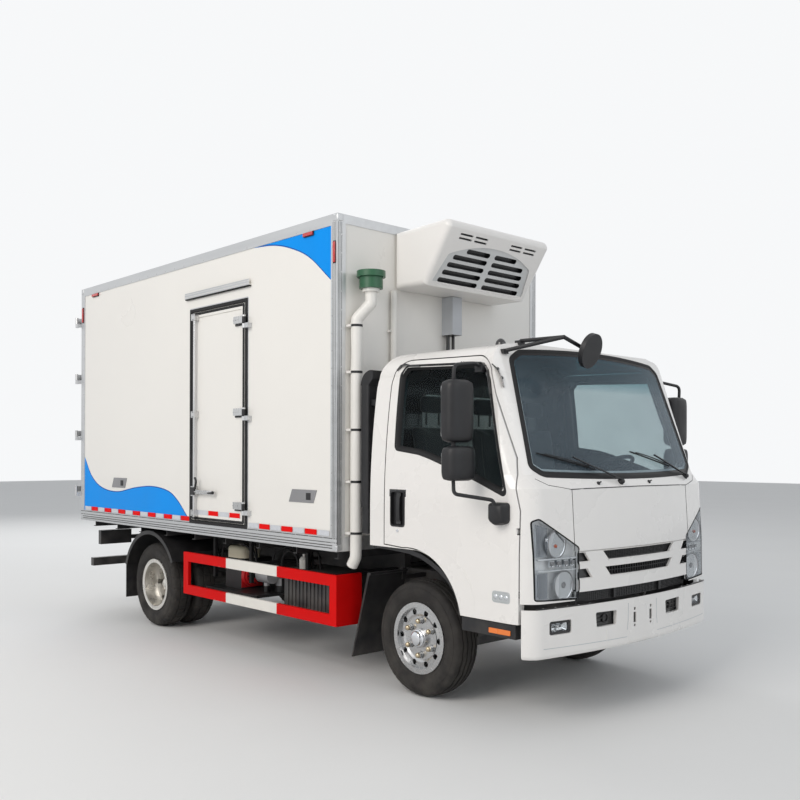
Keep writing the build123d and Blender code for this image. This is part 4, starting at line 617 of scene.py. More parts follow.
# Wheel fittings: nut caps, hub caps, valves and lip rings
for side, word in SIDES:
    body = f"wheel_front_{word}"
    out = (side, 0, 0)
    nuts, hub, ring = Shape(), Shape(), Shape()
    face = side * (FRONT_WHEEL + HALF_RIM)
    for i in range(6):
        a = radians(30 + 60 * i)
        at = (side * 856, STUD_RADIUS * cos(a), TYRE_RADIUS + STUD_RADIUS * sin(a))
        nuts.lathe([(22, 0), (22, 17.5), (30, 17.5), (38, 14), (42, 8), (43, 0)], at, out, 24)
        ring.lathe([(5, 17), (5, 23), (8, 23), (8, 19)], at, out, 24, closed=True)
    hub.lathe([(20, 50), (26.5, 50), (27, 57), (34, 56), (36, 50), (40, 46), (52, 42), (57, 34), (59, 18), (59.5, 0)],
              (side * 856, 0, TYRE_RADIUS), out, 48)
    for i in range(8):
        a = radians(22.5 + 45 * i)
        hub.bolt((side * (856 + 34), 50.5 * cos(a), TYRE_RADIUS + 50.5 * sin(a)), out, 4)
    ring.lathe([(-3, 198), (2, 226), (5.2, 231), (1, 231), (-6, 228)], (face - side * 5, 0, TYRE_RADIUS), out, 96,
               closed=True)
    ring.lathe([(-40, 187), (-39, 196), (-8, 204), (-8, 206), (-41, 198)], (face, 0, TYRE_RADIUS), out, 96, closed=True)
    hub.tube([(face - side * 34, 150, TYRE_RADIUS + 96), (face - side * 8, 158, TYRE_RADIUS + 100)], 4.2, sides=12)
    nuts.out(f"nut_caps_{word}", BRASS, body)
    hub.out(f"front_hub_{word}", CHROME, body, bevel=0.6)
    ring.out(f"front_rim_rings_{word}", ALLOY, body)

    body = f"wheels_rear_{word}"
    rings, cap = Shape(), Shape()
    middle = side * 762.5
    for i in range(6):
        a = radians(30 + 60 * i)
        at = (middle + side * 40, REAR_AXLE + STUD_RADIUS * cos(a), TYRE_RADIUS + STUD_RADIUS * sin(a))
        rings.lathe([(0, 0), (0, 20), (4, 20), (4, 15.5), (16, 15.5), (22, 12), (22, 0)], at, out, 24)
    cap.lathe([(88, 52), (94, 52), (96, 46), (100, 40), (112, 38), (117, 30), (119, 0)],
              (middle, REAR_AXLE, TYRE_RADIUS), out, 40)
    cap.lathe([(57, 60), (62, 88), (70, 88), (72, 60)], (middle, REAR_AXLE, TYRE_RADIUS), out, 48)
    for i in range(10):
        a = radians(18 + 36 * i)
        cap.bolt((middle + side * 71, REAR_AXLE + 74 * cos(a), TYRE_RADIUS + 74 * sin(a)), out, 7)
    edge = side * (REAR_WHEELS[0] + HALF_RIM)
    rings.lathe([(-3, 198), (0, 226), (3, 231), (-2, 231), (-7, 228)], (edge, REAR_AXLE, TYRE_RADIUS), out, 96,
                closed=True)
    cap.tube([(edge - side * 70, REAR_AXLE + 120, TYRE_RADIUS + 140),
              (edge - side * 20, REAR_AXLE + 130, TYRE_RADIUS + 146)], 4)
    rings.out(f"rear_rim_rings_{word}", SILVER, body)
    cap.out(f"rear_hub_{word}", SILVER, body, bevel=0.6)


# Laying things on the CAD skin
def drape(target, points, view, width, lift, name, look, body):
    """Flat band laid on a surface along an open path in a view; points are (x, z) or (station, z)."""
    dense = subdivide([Vector((a, 0, b)) for a, b in points], 18)
    rows = []
    for before, point, after in zip(dense[:1] + dense, dense, dense[1:] + dense[-1:]):
        along = (after - before).normalized()
        row = [seen(target, point.x + along.z * o, point.z - along.x * o, view) for o in (-width / 2, 0, width / 2)]
        if all(row):
            rows.append(row)
    shape = Shape()
    made = [[(shape.mesh.verts.new(P(*(p + n * lift))), shape.mesh.verts.new(P(*(p - n * 0.8)))) for p, n in row]
            for row in rows]
    for low, high in zip(made, made[1:]):
        for i in (0, 1):
            shape.mesh.faces.new((low[i][0], low[i + 1][0], high[i + 1][0], high[i][0]))
        for i in (0, 2):
            shape.mesh.faces.new((low[i][0], high[i][0], high[i][1], low[i][1]))
    return shape.out(name, look, body, smooth=40)


def round_corners(points, radius):
    """Closed outline with rounded corners."""
    result = []
    count = len(points)
    for i in range(count):
        corner = Vector(points[i])
        a, b = Vector(points[i - 1]) - corner, Vector(points[(i + 1) % count]) - corner
        cut = min(radius, 0.45 * a.length, 0.45 * b.length)
        start, end = corner + a.normalized() * cut, corner + b.normalized() * cut
        for t in (step / 5 for step in range(6)):
            p = start * (1 - t) ** 2 + corner * 2 * t * (1 - t) + end * t * t
            result.append((p.x, p.y))
    return result


def oblong(a, b, c, d, radius):
    """Rounded outline from corner (a, b) to corner (c, d)."""
    return round_corners([(a, b), (c, b), (c, d), (a, d)], radius)


def outset(points, distance):
    """Closed outline moved outwards (or inwards, below zero) by a distance."""
    count = len(points)
    area = sum(a[0] * b[1] - b[0] * a[1] for a, b in zip(points, points[1:] + points[:1]))
    sign = 1 if area > 0 else -1
    moved = []
    for i in range(count):
        before, here, after = (Vector(points[(i + k) % count]) for k in (-1, 0, 1))
        one, two = (here - before).normalized(), (after - here).normalized()
        normal = Vector((one.y + two.y, -one.x - two.x))
        if normal.length < 0.01:
            normal = Vector((one.y, -one.x))
        normal.normalize()
        spread = max(0.5, normal.dot(Vector((one.y, -one.x))))
        p = here + normal * distance * sign / spread
        moved.append((p.x, p.y))
    return moved


def dense_outline(points, step):
    return [(p.x, p.y) for p in subdivide([Vector((a, b)) for a, b in points], step, True)]


def laid(target, outline, view, lift):
    """Loop where an outline seen along view meets the target, moved outwards by lift."""
    loop = []
    for a, b in outline:
        found = seen(target, a, b, view)
        loop.append(found[0] + found[1] * lift if found else None)
    last = next(p for p in loop if p is not None)
    for i, p in enumerate(loop):
        loop[i] = last = last if p is None else p
    return loop


def loops(name, rows, look, body, shut=True, smooth=40, instead=()):
    """Closed strips between loops of as many points each."""
    return Shape().rings(rows, shut).out(name, look, body, smooth=smooth, instead=instead)


def at_x(rows):
    """Loops of points from pairs of an x and an outline of (station, z)."""
    return [[Vector((x, a, b)) for a, b in ring] for x, ring in rows]


CAB_SKIN = surface("cab_shell", "front_panel", "cab_glass", "lamp_covers")

# Windscreen: printed black border inside a rubber moulding
screen = [(-876, 1500), (-805, 2146), (-722, 2196)]
screen += [(x, 2222 - 26 * (x / 722) ** 2) for x in range(-600, 601, 150)]
screen += [(722, 2196), (805, 2146), (876, 1500), (796, 1450)]
screen += [(x, 1432 + 18 * (x / 796) ** 2) for x in range(660, -661, -165)] + [(-796, 1450)]
screen = dense_outline(round_corners(screen, 26), 24)
SCREEN_SKIN = surface("cab_glass")
pane_edge = [laid(SCREEN_SKIN, outset(screen, -d), FORWARD, lift) for d, lift in
             ((2, 0.4), (2, 1.0), (25, 1.0), (25, 0.4))]
loops("screen_border", pane_edge, BORDER, "cab")
upper = [laid(CAB_SKIN, outset(screen, d), FORWARD, lift) for d, lift in
         ((11, 0.5), (9, 3.4), (-2, 4.6), (-9, 3.0), (-10, 0.6))]
loops("screen_rubber", upper, RUBBER, "cab")

# Wipers with their arms, and the washer nozzles
SCREEN_NORMAL = Vector((0, -0.94, 0.34))


def on_screen(x, z, lift):
    place, normal = seen(CAB_SKIN, x, z, FORWARD)
    return place + normal * lift


wipers, blades = Shape(), Shape()
for pivot, knee, low, high in (
    ((-163, 1404), (-552, 1546), (-353, 1481), (-805, 1578)),
    ((712, 1424), (300, 1560), (520, 1494), (60, 1590)),
):
    base = on_screen(*pivot, 2)
    wipers.lathe([(-4, 0), (-4, 21), (6, 21), (12, 16), (22, 15), (26, 10), (27, 0)], base, SCREEN_NORMAL, 20)
    arm = [on_screen(*pivot, 22)] + [
        on_screen(pivot[0] + (knee[0] - pivot[0]) * t, pivot[1] + (knee[1] - pivot[1]) * t, 24 + 12 * t)
        for t in (0.3, 0.7, 1)
    ]
    wipers.sweep(rounded(arm, 40), [(-9, -3), (9, -3), (6, 4), (-6, 4)])
    rail = [on_screen(low[0] + (high[0] - low[0]) * t, low[1] + (high[1] - low[1]) * t, 0) for t in
            (0, 0.15, 0.3, 0.45, 0.6, 0.75, 0.9, 1)]
    blades.sweep([p + SCREEN_NORMAL * 7 for p in rail], [(-1, -5), (1, -5), (5, 3), (-5, 3)])
    wipers.sweep([p + SCREEN_NORMAL * (15 + 12 * sin(pi * i / 7)) for i, p in enumerate(rail)][1:-1],
                 [(-4, -3), (4, -3), (4, 3), (-4, 3)])
for x in (-383, 150):
    place, normal = seen(CAB_SKIN, x, 1399, FORWARD)
    wipers.lathe([(-3, 0), (-3, 12), (5, 12), (9, 8), (9, 0)], place, normal, 16)
    wipers.lathe([(0, 0), (0, 5), (20, 4), (20, 0)], place + normal * 6, (0.9, -0.2, 0.35), 12)
wipers.out("wiper_arms", BLACK, "cab", bevel=0.8)
blades.out("wiper_blades", RUBBER, "cab")

# Cowl line under the screen and shut lines of the lid
cowl = [(-645, 1368), (-500, 1372), (0, 1376), (500, 1372), (645, 1368)]
drape(CAB_SKIN, cowl, FORWARD, 5, 0.7, "cowl_line", DARK, "cab")
for side, word in SIDES:
    line = [(side * 634, 1366), (side * 634, 1200), (side * 634, 1010)]
    drape(CAB_SKIN, line, FORWARD, 4.5, 0.7, f"lid_line_{word}", DARK, "cab")
    drape(CAB_SKIN, [(side * 645, 1370), (side * 800, 1395), (side * 872, 1432)], FORWARD, 3, 0.6,
          f"corner_line_{word}", DARK, "cab")


# Grille: nets behind the two rows of slots and the low opening, white rims round the rows
def bowed(x, front, depth):
    """Station at a depth behind a bowed front, away from its corners."""
    return front + depth + x * x / NOSE_BOW


def nose_rail(half, z, depth, count=16):
    """Points across the nose at a depth behind its skin."""
    xs = [half * (2 * k / count - 1) for k in range(count + 1)]
    return [Vector((x, bowed(x, LID_NOSE, depth), z)) for x in xs]


grille = Shape()
for z in range(951, 996, 8):
    half = 392 - (998 - z) * 52 / 53
    grille.sweep(nose_rail(half - 4, z, 19), [(-3, -1.2), (3, -1.2), (3, 1.2), (-3, 1.2)])
for k in range(-21, 22):
    x = k * 17.5
    y = bowed(x, LID_NOSE, 18)
    grille.block((x - 1, x + 1), (y, y + 5), (948, 996))
for k in range(-13, 14):
    x = k * 26.5
    y = bowed(x, LID_NOSE, 12)
    grille.block((x - 3, x + 3), (y, y + 13), (850, 900))
grille.sweep(nose_rail(344, 875, 17), [(-4, -2), (4, -2), (4, 2), (-4, 2)])
for z in range(708, 766, 9):
    grille.sweep(nose_rail(620, z, 36), [(-3, -1), (3, -1), (3, 1), (-3, 1)])
for k in range(-34, 35):
    x = k * 18
    y = bowed(x, LID_NOSE, 35)
    grille.block((x - 1, x + 1), (y, y + 5), (704, 766))
for side in (-1, 1):
    grille.block((side * 240, side * 262), (-1072, -1056), (704, 766))
grille.out("grille_net", BLACK, "cab")
NOSE_SKIN = surface("front_panel", "cab_shell")
for number, (top, low, wide, narrow) in enumerate(((998, 945, 392, 340), (902, 848, 372, 322))):
    slot_edge = dense_outline([(-wide, top), (wide, top), (narrow, low), (-narrow, low)], 40)
    rows = [laid(NOSE_SKIN, outset(slot_edge, d), FORWARD, lift) for d, lift in ((7, 0.2), (6, 2.2), (2, 2.8))]
    back = [p + Vector((0, 26, 0)) for p in rows[-1]]
    loops(f"grille_rim_{number}", rows + [back], WHITE, "cab", shut=False)
    for side, word in SIDES:
        tri = [(side * 622, top), (side * (wide + 160), top), (side * (wide + 118), low), (side * 622, low)]
        tri_edge = dense_outline(tri, 30)
        rows = [laid(NOSE_SKIN, outset(tri_edge, d), FORWARD, lift) for d, lift in ((6, 0.2), (5, 2.0), (2, 2.4))]
        loops(f"grille_end_{number}_{word}", rows + [[p + Vector((0, 24, 0)) for p in rows[-1]]], WHITE, "cab",
              shut=False)

# Headlamps: a silver tray behind the clear cover, with two bowls, a row of square lenses and upright ribs
for side, word in SIDES:
    corner = [(side * 600, 730), (side * 600, 1030), (side * 896, 1205), (side * 938, 1190), (side * 928, 742)]
    lamp_edge = dense_outline(round_corners(corner, 14), 22)
    tray = [laid(CAB_SKIN, outset(lamp_edge, -d), FORWARD, -deep) for d, deep in
            ((1.5, 7.4), (3, 26), (5, 44), (30, 47), (70, 47), (110, 47))]
    middle = sum(tray[-1], Vector()) / len(tray[-1])
    tray.append([middle.copy() for _ in tray[-1]])
    loops(f"lamp_tray_{word}", tray, LAMP_SILVER, "cab", shut=False, instead=["headlamps"])
    rim = [laid(CAB_SKIN, outset(lamp_edge, d), FORWARD, lift) for d, lift in
           ((4, 0.2), (3, 1.2), (-2, 1.4), (-5, 0.4))]
    loops(f"lamp_rim_{word}", rim, DARK, "cab")
    chrome, facets, inner, bulbs, bezel = Shape(), Shape(), Shape(), Shape(), Shape()

    def behind(x, z, depth):
        """Station at a depth behind the lamp's cover."""
        return seen(CAB_SKIN, side * x, z, FORWARD)[0].y + depth

    for x, z, radius in ((762, 1056, 74), (712, 815, 78)):
        front = behind(x, z, 13)
        chrome.lathe([(0, radius + 5), (2, radius + 3), (0, radius), (-9, radius * 0.95), (-18, radius * 0.82),
                      (-26, radius * 0.62), (-31, radius * 0.4), (-33, 12), (-34, 0), (-37, 0), (-34, radius * 0.55),
                      (-16, radius * 0.98), (-2, radius + 5)],
                     (side * x, front, z), (0, -1, 0), 48)
        bezel.lathe([(-1, radius + 5), (4, radius + 11), (6, radius + 9), (3, radius + 3), (0, radius + 3)],
                    (side * x, front, z), (0, -1, 0), 48, closed=True)
    front = behind(772, 1052, 20)
    bulbs.lathe([(-18, 0), (-18, 13), (4, 13), (14, 10), (20, 4), (21, 0)], (side * 772, front, 1045), (0, -1, 0), 20)
    front = behind(712, 815, 16)
    inner.lathe([(-20, 0), (-20, 19), (4, 19), (9, 14), (10, 0)], (side * 712, front, 818), (0, -1, 0), 24)
    front = behind(712, 815, 12)
    for number in range(22):
        a, b = 2 * pi * number / 22, 2 * pi * (number + 0.86) / 22
        tilt = (number * 7 % 5) * 4 - 8
        near = [Vector((side * (712 + r * cos(t)), front + deep, 815 + r * sin(t)))
                for r, t, deep in ((24, a, 22), (73, a, 6 + tilt / 3), (73, b, 6 - tilt / 3), (24, b, 22))]
        away = [q + Vector((0, 7, 0)) for q in near]
        facets.faces(near + away, [(0, 1, 2, 3), (7, 6, 5, 4), (0, 4, 5, 1), (1, 5, 6, 2), (2, 6, 7, 3), (3, 7, 4, 0)])
    for number in range(4):
        x = 634 + number * 54
        y = behind(x, 950, 11)
        chrome.block((side * (x - 21), side * (x + 21)), (y + 6, y + 18), (924, 962))
        inner.block((side * (x - 14), side * (x + 14)), (y, y + 10), (934, 956))
        chrome.dome((side * x, y + 3, 928), (0, -1, 0), 7, 5)
    # Shelf between the chambers and the bars over and under the square lenses
    for z, tall, deep in ((972, 9, 9), (905, 7, 10), (738, 6, 10)):
        ledge = [Vector((side * x, behind(x, z, deep + 10), z)) for x in range(612, 905, 24)]
        chrome.sweep(ledge, [(-10, -tall / 2), (10, -tall / 2), (10, tall / 2), (-10, tall / 2)])
    for number in range(9):
        x = 838 + number * 9
        low, high = (748, 895) if number < 8 else (760, 890)
        for bottom, top in ((low, high), (985, 1150 + number * 3)):
            y = behind(x, (bottom + top) / 2, 9)
            facets.block((side * (x - 1.6), side * (x + 1.6)), (y, y + 12), (bottom, top))
    inner.out(f"lamp_slats_{word}", GREY_PLATE, "cab", bevel=0.8)
    chrome.out(f"lamp_reflectors_{word}", CHROME, "cab", smooth=30)
    facets.out(f"lamp_facets_{word}", CHROME, "cab", smooth=0)
    bulbs.out(f"lamp_bulbs_{word}", WARM_BULB, "cab")
    bezel.out(f"lamp_bezels_{word}", GREY_PLATE, "cab")

# Bumper: fog lamps, dark inserts, lines and the strips on top
BUMPER = surface("front_bumper")
bumper_dark, fittings = Shape(), Shape()
for side, word in SIDES:
    # Towing recess: slats and a ring deep inside
    depths = bowed(370, BUMPER_NOSE, 27), bowed(370, BUMPER_NOSE, 33)
    for z in (568, 592, 616):
        bumper_dark.block((side * 284, side * 458), depths, (z - 3, z + 3))
    bumper_dark.lathe([(0, 30), (9, 30), (9, 22), (0, 22)], (side * 350, bowed(350, BUMPER_NOSE, 33), 590), (0, -1, 0),
                      28, closed=True)
    # Fog lamp: dark surround, stepped reflector and a clear lens
    y = bowed(757, BUMPER_NOSE, 4)
    rim_out = oblong(side * 676, 545, side * 838, 615, 14)
    rim_in = oblong(side * 692, 556, side * 820, 604, 12)
    rows = [[Vector((a, y + (abs(a) - 757) * 0.16 + deep, b)) for a, b in ring] for deep, ring in
            ((3, rim_out), (1, rim_out), (4, rim_in), (20, rim_in))]
    loops(f"fog_rim_{word}", rows, BLACK, "chassis", shut=False)
    bowl = []
    for deep, shrink in ((14, 0), (26, 12), (30, 30)):
        bowl.append([Vector((a, y + (abs(a) - 757) * 0.16 + deep, b)) for a, b in
                     oblong(side * (692 + shrink), 556 + shrink * 0.7, side * (820 - shrink), 604 - shrink * 0.7, 8)])
    bowl.append([sum(bowl[-1], Vector()) / len(bowl[-1]) for _ in bowl[-1]])
    loops(f"fog_reflector_{word}", bowl, CHROME, "chassis", shut=False, smooth=60)
    fittings.lathe([(0, 0), (0, 9), (14, 8), (18, 0)], (side * 757, y + 30, 580), (0, -1, 0), 20)
    lens = oblong(side * 690, 554, side * 822, 606, 14)
    rows = [[Vector((a, y + (abs(a) - 757) * 0.16 + deep, b)) for a, b in outset(lens, -shrink)] for deep, shrink in
            ((9, 0), (6, 2), (4, 12), (3.4, 24))]
    rows.append([sum(rows[-1], Vector()) / len(rows[-1]) for _ in rows[-1]])
    loops(f"fog_lens_{word}", rows, CLEAR_LENS, "chassis", shut=False, smooth=60)
    # Thin black strip on the top edge with small screws
    pad = []
    for t in range(11):
        found = hit(BUMPER, (side * (470 + t * 46), -1500, 676), FORWARD)
        if found:
            pad.append(found[0])
    bumper_dark.sweep([p + Vector((0, 4.5, 18)) for p in pad], [(-5, -3), (5, -3), (5, 3), (-5, 3)])
    for p in pad[1::2]:
        fittings.bolt(p + Vector((0, 4.5, 21)), (0, 0, 1), 4)
    # Groove low on the shell drawn as a grey line, painted shade in the groove; crease over the fog lamp; edge of the
    # plain centre panel drawn as a grey line, painted shade at its sunken step
    groove = [(side * x, 455 + x * 0.014) for x in range(170, 886, 65)]
    drape(BUMPER, groove, FORWARD, 4, 0.3, f"bumper_groove_shade_{word}", UNIT_GREY, "chassis")
    crease = [(side * 640, 652), (side * 760, 640), (side * 880, 600)]
    drape(BUMPER, crease, FORWARD, 7, 1.4, f"bumper_crease_{word}", WHITE, "chassis")
    panel_edge = [(side * 168, 500), (side * 160, 560), (side * 158, 662)]
    drape(BUMPER, panel_edge, FORWARD, 5, 0.5, f"plate_panel_edge_shade_{word}", UNIT_GREY, "chassis")
bumper_dark.out("bumper_inserts", BLACK, "chassis", bevel=1.0)
fittings.out("bumper_fittings", STAINLESS, "chassis", bevel=0.5)

# Doors: window seals, handles, lamps, mirrors
WINDOW = [(-828, 1345), (-652, 2014), (-590, 2108), (60, 2134), (112, 2080), (102, 1612), (-106, 1586), (-200, 1562),
          (-290, 1534), (-370, 1508), (-500, 1466), (-617, 1426)]
for side, word in SIDES:
    body = f"cab_door_{word}"
    skin = surface(f"cab_door_{word}")
    pane = surface(f"door_glass_{word}")
    view = (-side, 0, 0)
    window = dense_outline(round_corners(WINDOW, 20), 24)
    outer = [laid(skin, outset(window, d), view, lift) for d, lift in ((19, 0.3), (17, 2.4), (5, 3.2))]
    inner = [laid(pane, outset(window, -d), view, lift) for d, lift in ((6, 20), (13, 6), (17, 1.0), (17, 0.2))]
    loops(f"window_seal_{word}", outer + inner, RUBBER, body, shut=False)
    # Pull handle: dark recess and a bar over it, lock below
    handle, chrome = Shape(), Shape()
    base = side * 974
    handle.prism(oblong(8, 1108, 138, 1330, 22), "x", base, base + side * 4)
    rim_out = oblong(4, 1102, 142, 1336, 26)
    rim_in = oblong(12, 1112, 134, 1326, 20)
    rows = [(side * x, ring) for x, ring in ((1000.2, rim_out), (1002.6, rim_out), (1002.6, rim_in), (980, rim_in))]
    loops(f"handle_rim_{word}", at_x(rows), BLACK, body)
    handle.sweep([(side * x, 72, z) for x, z in ((984, 1130), (996, 1150), (999, 1220), (996, 1290), (984, 1312))],
                 [(-17, -4), (17, -4), (17, 5), (-17, 5)])
    chrome.disc((side * 1000.3, 72, 1078), (side, 0, 0), 11, 3, 24, 1.0)
    handle.out(f"handle_{word}", BLACK, body, bevel=1.5)
    chrome.out(f"door_lock_{word}", CHROME, body)
    # Clear marker low on the door, orange reflector under it
    marker, clear = Shape(), Shape()
    marker.prism(oblong(-874, 716, -740, 784, 20), "x", side * 994, side * 1001.5)
    clear.prism(oblong(-868, 722, -746, 778, 18), "x", side * 1001, side * 1008)
    marker.out(f"marker_base_{word}", UNIT_GREY, body, bevel=1)
    bright = Shape()
    for a in (-846, -807, -768):
        bright.dome((side * 1001.6, a, 750), (side, 0, 0), 15, 5)
    bright.out(f"marker_bulbs_{word}", CHROME, body)
    clear.out(f"marker_lens_{word}", CLEAR_LENS, body, bevel=2.5)
    orange = Shape()
    orange.prism(oblong(-872, 534, -708, 564, 6), "x", side * 990.3, side * 995)
    orange.out(f"side_reflector_{word}", ORANGE, "cab", bevel=1.5)
    # Flare over the wheel: a soft crease on the door and a black lip on the arch
    drape(skin, [(-604, 640), (-598, 720), (-560, 800), (-500, 880), (-420, 942), (-308, 992), (-160, 1018), (60, 1030),
                 (186, 1032)], view, 5, 1.2, f"flare_crease_{word}", WHITE, body)
    lip = Shape()
    arch = [Vector((side * 985, s, z)) for s, z in
            ((-484, 606), (-470, 680), (-432, 752), (-375, 812), (-300, 862), (-210, 905), (-125, 937), (-20, 957),
             (100, 966), (200, 970), (320, 972))]
    lip.sweep(arch, [(-3, -22), (4, -22), (4, 6), (-3, 6)])
    lip.out(f"arch_lip_{word}", BLACK, "cab")
    # Mirrors: rounded shells, glass facing back, clamps on the stay
    heads, glasses = Shape(), Shape()
    for low, high, middle, wide, deep, ahead in ((1640, 2000, 1185, 210, 112, 4), (1420, 1618, 1183, 214, 118, 12)):
        rows = []
        turns = [2 * pi * k / 48 for k in range(48)]
        for k in range(25):
            t = -1 + k / 12
            full = (1 - abs(t) ** (7 if high > 1700 else 4.5)) ** 0.32 if abs(t) < 1 else 0.0
            grow = 0.60 + 0.40 * full
            rows.append([Vector((side * middle + side * wide / 2 * grow
                                 * copysign(abs(cos(a)) ** (0.68 if sin(a) < 0 else 0.4), cos(a)),
                                 -637 - ahead + deep / 2 * (grow if sin(a) < 0 else 0.94 * grow + 0.06)
                                 * copysign(abs(sin(a)) ** (0.9 if sin(a) < 0 else 0.35), sin(a)),
                                 (low + high) / 2 + t * (high - low) / 2)) for a in turns])
        heads.rings(rows, ends=True)
        face = oblong(side * middle - wide * 0.42, low + 22, side * middle + wide * 0.42, high - 22, 28)
        glasses.prism(face, "y", -637 - ahead + deep / 2 - 6, -637 - ahead + deep / 2 - 1)
    stay = side * 1225
    heads.tube([(side * 934, -600, 2090), (side * 1010, -605, 2110), (stay, -645, 2085), (stay, -640, 1990)],
               11, 45, 16)
    heads.tube([(stay, -640, 1650), (stay, -640, 1600)], 11, 0, 16)
    heads.tube([(stay, -640, 1430), (stay, -645, 1345), (side * 1060, -800, 1310), (side * 1045, -812, 1215)],
               11, 30, 16)
    foot = round_corners([(-872, 1296), (-752, 1296), (-752, 1190), (-800, 1160), (-872, 1180)], 24)
    foot_rows = [(side * x, outset(foot, -shrink)) for x, shrink in ((1000.4, 0), (1046, 2), (1060, 8), (1066, 18))]
    heads.rings(at_x(foot_rows), ends=True)
    heads.block((side * 926, side * 972), (-628, -572), (2062, 2104))
    for z in (1985, 1655, 1595, 1440):
        heads.lathe([(-12, 12), (-12, 16), (12, 16), (12, 12)], (stay, -641, z), (0, 0, 1), 20, closed=True)
    for station in (-614, -586):
        heads.bolt((side * 972, station, 2083), (side, 0, 0), 5)
    heads.out(f"mirror_shells_{word}", BLACK, body, smooth=50, instead=[f"mirrors_{word}"])
    glasses.out(f"mirror_glasses_{word}", MIRROR, body, bevel=0.6)


# Box: stripes, tape, marker lamps, side plates, rivets and corner caps
def decal(name, outline, look, side, lift=0.5):
    Shape().prism(outline, "x", side * (WALL + 0.1), side * (WALL + lift)).out(name, look, "chassis", smooth=0)


def curve(points, steps=8):
    """Smooth open line through 2D points."""
    pts = [Vector(p) for p in points]
    pts = [2 * pts[0] - pts[1]] + pts + [2 * pts[-1] - pts[-2]]
    result = []
    for a, b, c, d in zip(pts, pts[1:], pts[2:], pts[3:]):
        for i in range(steps):
            t = i / steps
            p = 0.5 * ((2 * b) + (c - a) * t + (2 * a - 5 * b + 4 * c - d) * t * t + (3 * b - a - 3 * c + d) * t ** 3)
            result.append((p.x, p.y))
    return result + [(pts[-2].x, pts[-2].y)]


HIGH_WAVE = curve([(1636, 3145), (1371, 3120), (1145, 3060), (930, 2962), (690, 2774)])
LOW_WAVE = curve([(4638, 1530), (4471, 1343), (4247, 1240), (3925, 1210), (3561, 1258), (3236, 1279), (2947, 1247),
                  (2775, 1167), (2624, 1046)])
for side, word in SIDES:
    decal(f"stripe_high_{word}", HIGH_WAVE + [(682, 2774), (682, 3145)], BLUE, side)
    decal(f"stripe_low_{word}", LOW_WAVE + [(2600, 1002), (4639, 1002)], BLUE, side)
    for label, wave, right, up in (("high", HIGH_WAVE, 0, 8.8), ("low", LOW_WAVE, 2, -8.8)):
        moved = [(a + right, b + up) for a, b in wave]
        line, back = ([p for p in row if 686 < p[0] < 4636 and 1004 < p[1] < 3144] for row in (moved, wave))
        decal(f"stripe_line_{label}_{word}", line + back[::-1], DEEP_BLUE, side, lift=0.8)
    # Reflecting tape along the bottom rail, and on the side door
    tape_red, tape_white, lamps, lamp_base, plates = Shape(), Shape(), Shape(), Shape(), Shape()
    door_red, door_white = Shape(), Shape()
    face = side * RAIL_FACE
    if side < 0:
        runs = [(690 + 143 * k, 136, k % 2 == 1) for k in range(7)]
        runs += [(2580 + 146 * k, 138, k % 2 == 0) for k in range(14)]
        for k in range(4):
            shape = door_red if k % 2 == 0 else door_white
            shape.block((-1076.1, -1076.6), (1800 + 158 * k, 1948 + 158 * k), (1066, 1104))
    else:
        runs = [(690 + 145 * k, 138, k % 2 == 1) for k in range(27)]
    for start, long, is_red in runs:
        (tape_red if is_red else tape_white).block((face, face + side * 0.5), (start, start + long), (1003, 1041))
    for a, b in ((880, 990), (4330, 4460)):
        lamp_base.block((side * 1070, side * 1073), (a - 5, b + 5), (3112, 3146))
        lamps.block((side * 1072, side * 1084), (a, b), (3117, 3141))
    for s in (640, 4680):
        lamp_base.block((side * 1070, side * 1073), (s - 16, s + 16), (2880, 3036))
        lamps.block((side * 1072, side * 1082), (s - 11, s + 11), (2886, 3028))
    for a, b, mid in ((3720, 4030, 1290), (834, 1167, 1268)):
        plates.prism([(a + 40, mid - 45), (b, mid - 45), (b - 40, mid + 48), (a, mid + 48)], "x", side * (WALL + 0.3),
                     side * (WALL + 4))
        plates.prism([(a + 62, mid - 30), (b - 22, mid - 30), (b - 54, mid + 33), (a + 30, mid + 33)], "x",
                     side * (WALL + 3.5), side * (WALL + 5))
        lamp_base.block((side * (WALL + 5), side * (WALL + 9)), (a + 70, a + 120), (mid - 24, mid + 26))
    if side < 0:
        door_red.out("door_tape_red", RED, "side_door", smooth=0)
        door_white.out("door_tape_white", TAPE_WHITE, "side_door", smooth=0)
    tape_red.out(f"tape_red_{word}", RED, "chassis", smooth=0)
    tape_white.out(f"tape_white_{word}", TAPE_WHITE, "chassis", smooth=0)
    lamps.out(f"marker_lamps_{word}", RED_LENS, "chassis", bevel=2)
    lamp_base.out(f"marker_bases_{word}", BLACK, "chassis", bevel=1)
    plates.out(f"side_plates_{word}", GREY_PLATE, "chassis", bevel=1)
    # Rivets down the posts and along the rails
    rivets = Shape()
    for z in range(960, 3200, 120):
        for s in (622, 668):
            rivets.dome((face, s, z), (side, 0, 0), 5, 2.2, 10, 3)
        rivets.dome((face, 4660, z), (side, 0, 0), 5, 2.2, 10, 3)
    for s in range(760, 4600, 160):
        rivets.dome((face, s, 3160), (side, 0, 0), 5, 2.2, 10, 3)
        if not (side < 0 and 1690 < s < 2600):
            rivets.dome((face, s, 990), (side, 0, 0), 4, 2, 10, 3)
    for z in range(1000, 3180, 130):
        rivets.dome((side * 1034, 609, z), (0, -1, 0), 5, 2.2, 10, 3)
    rivets.out(f"box_rivets_{word}", STAINLESS, "chassis")
    caps = Shape()
    for stations in ((606, 661), (4668, 4723)):
        for heights in ((3166, 3222), (899, 948)):
            caps.block((side * 1018, side * 1073), stations, heights)
    caps.out(f"corner_caps_{word}", RAIL, "chassis", bevel=9)

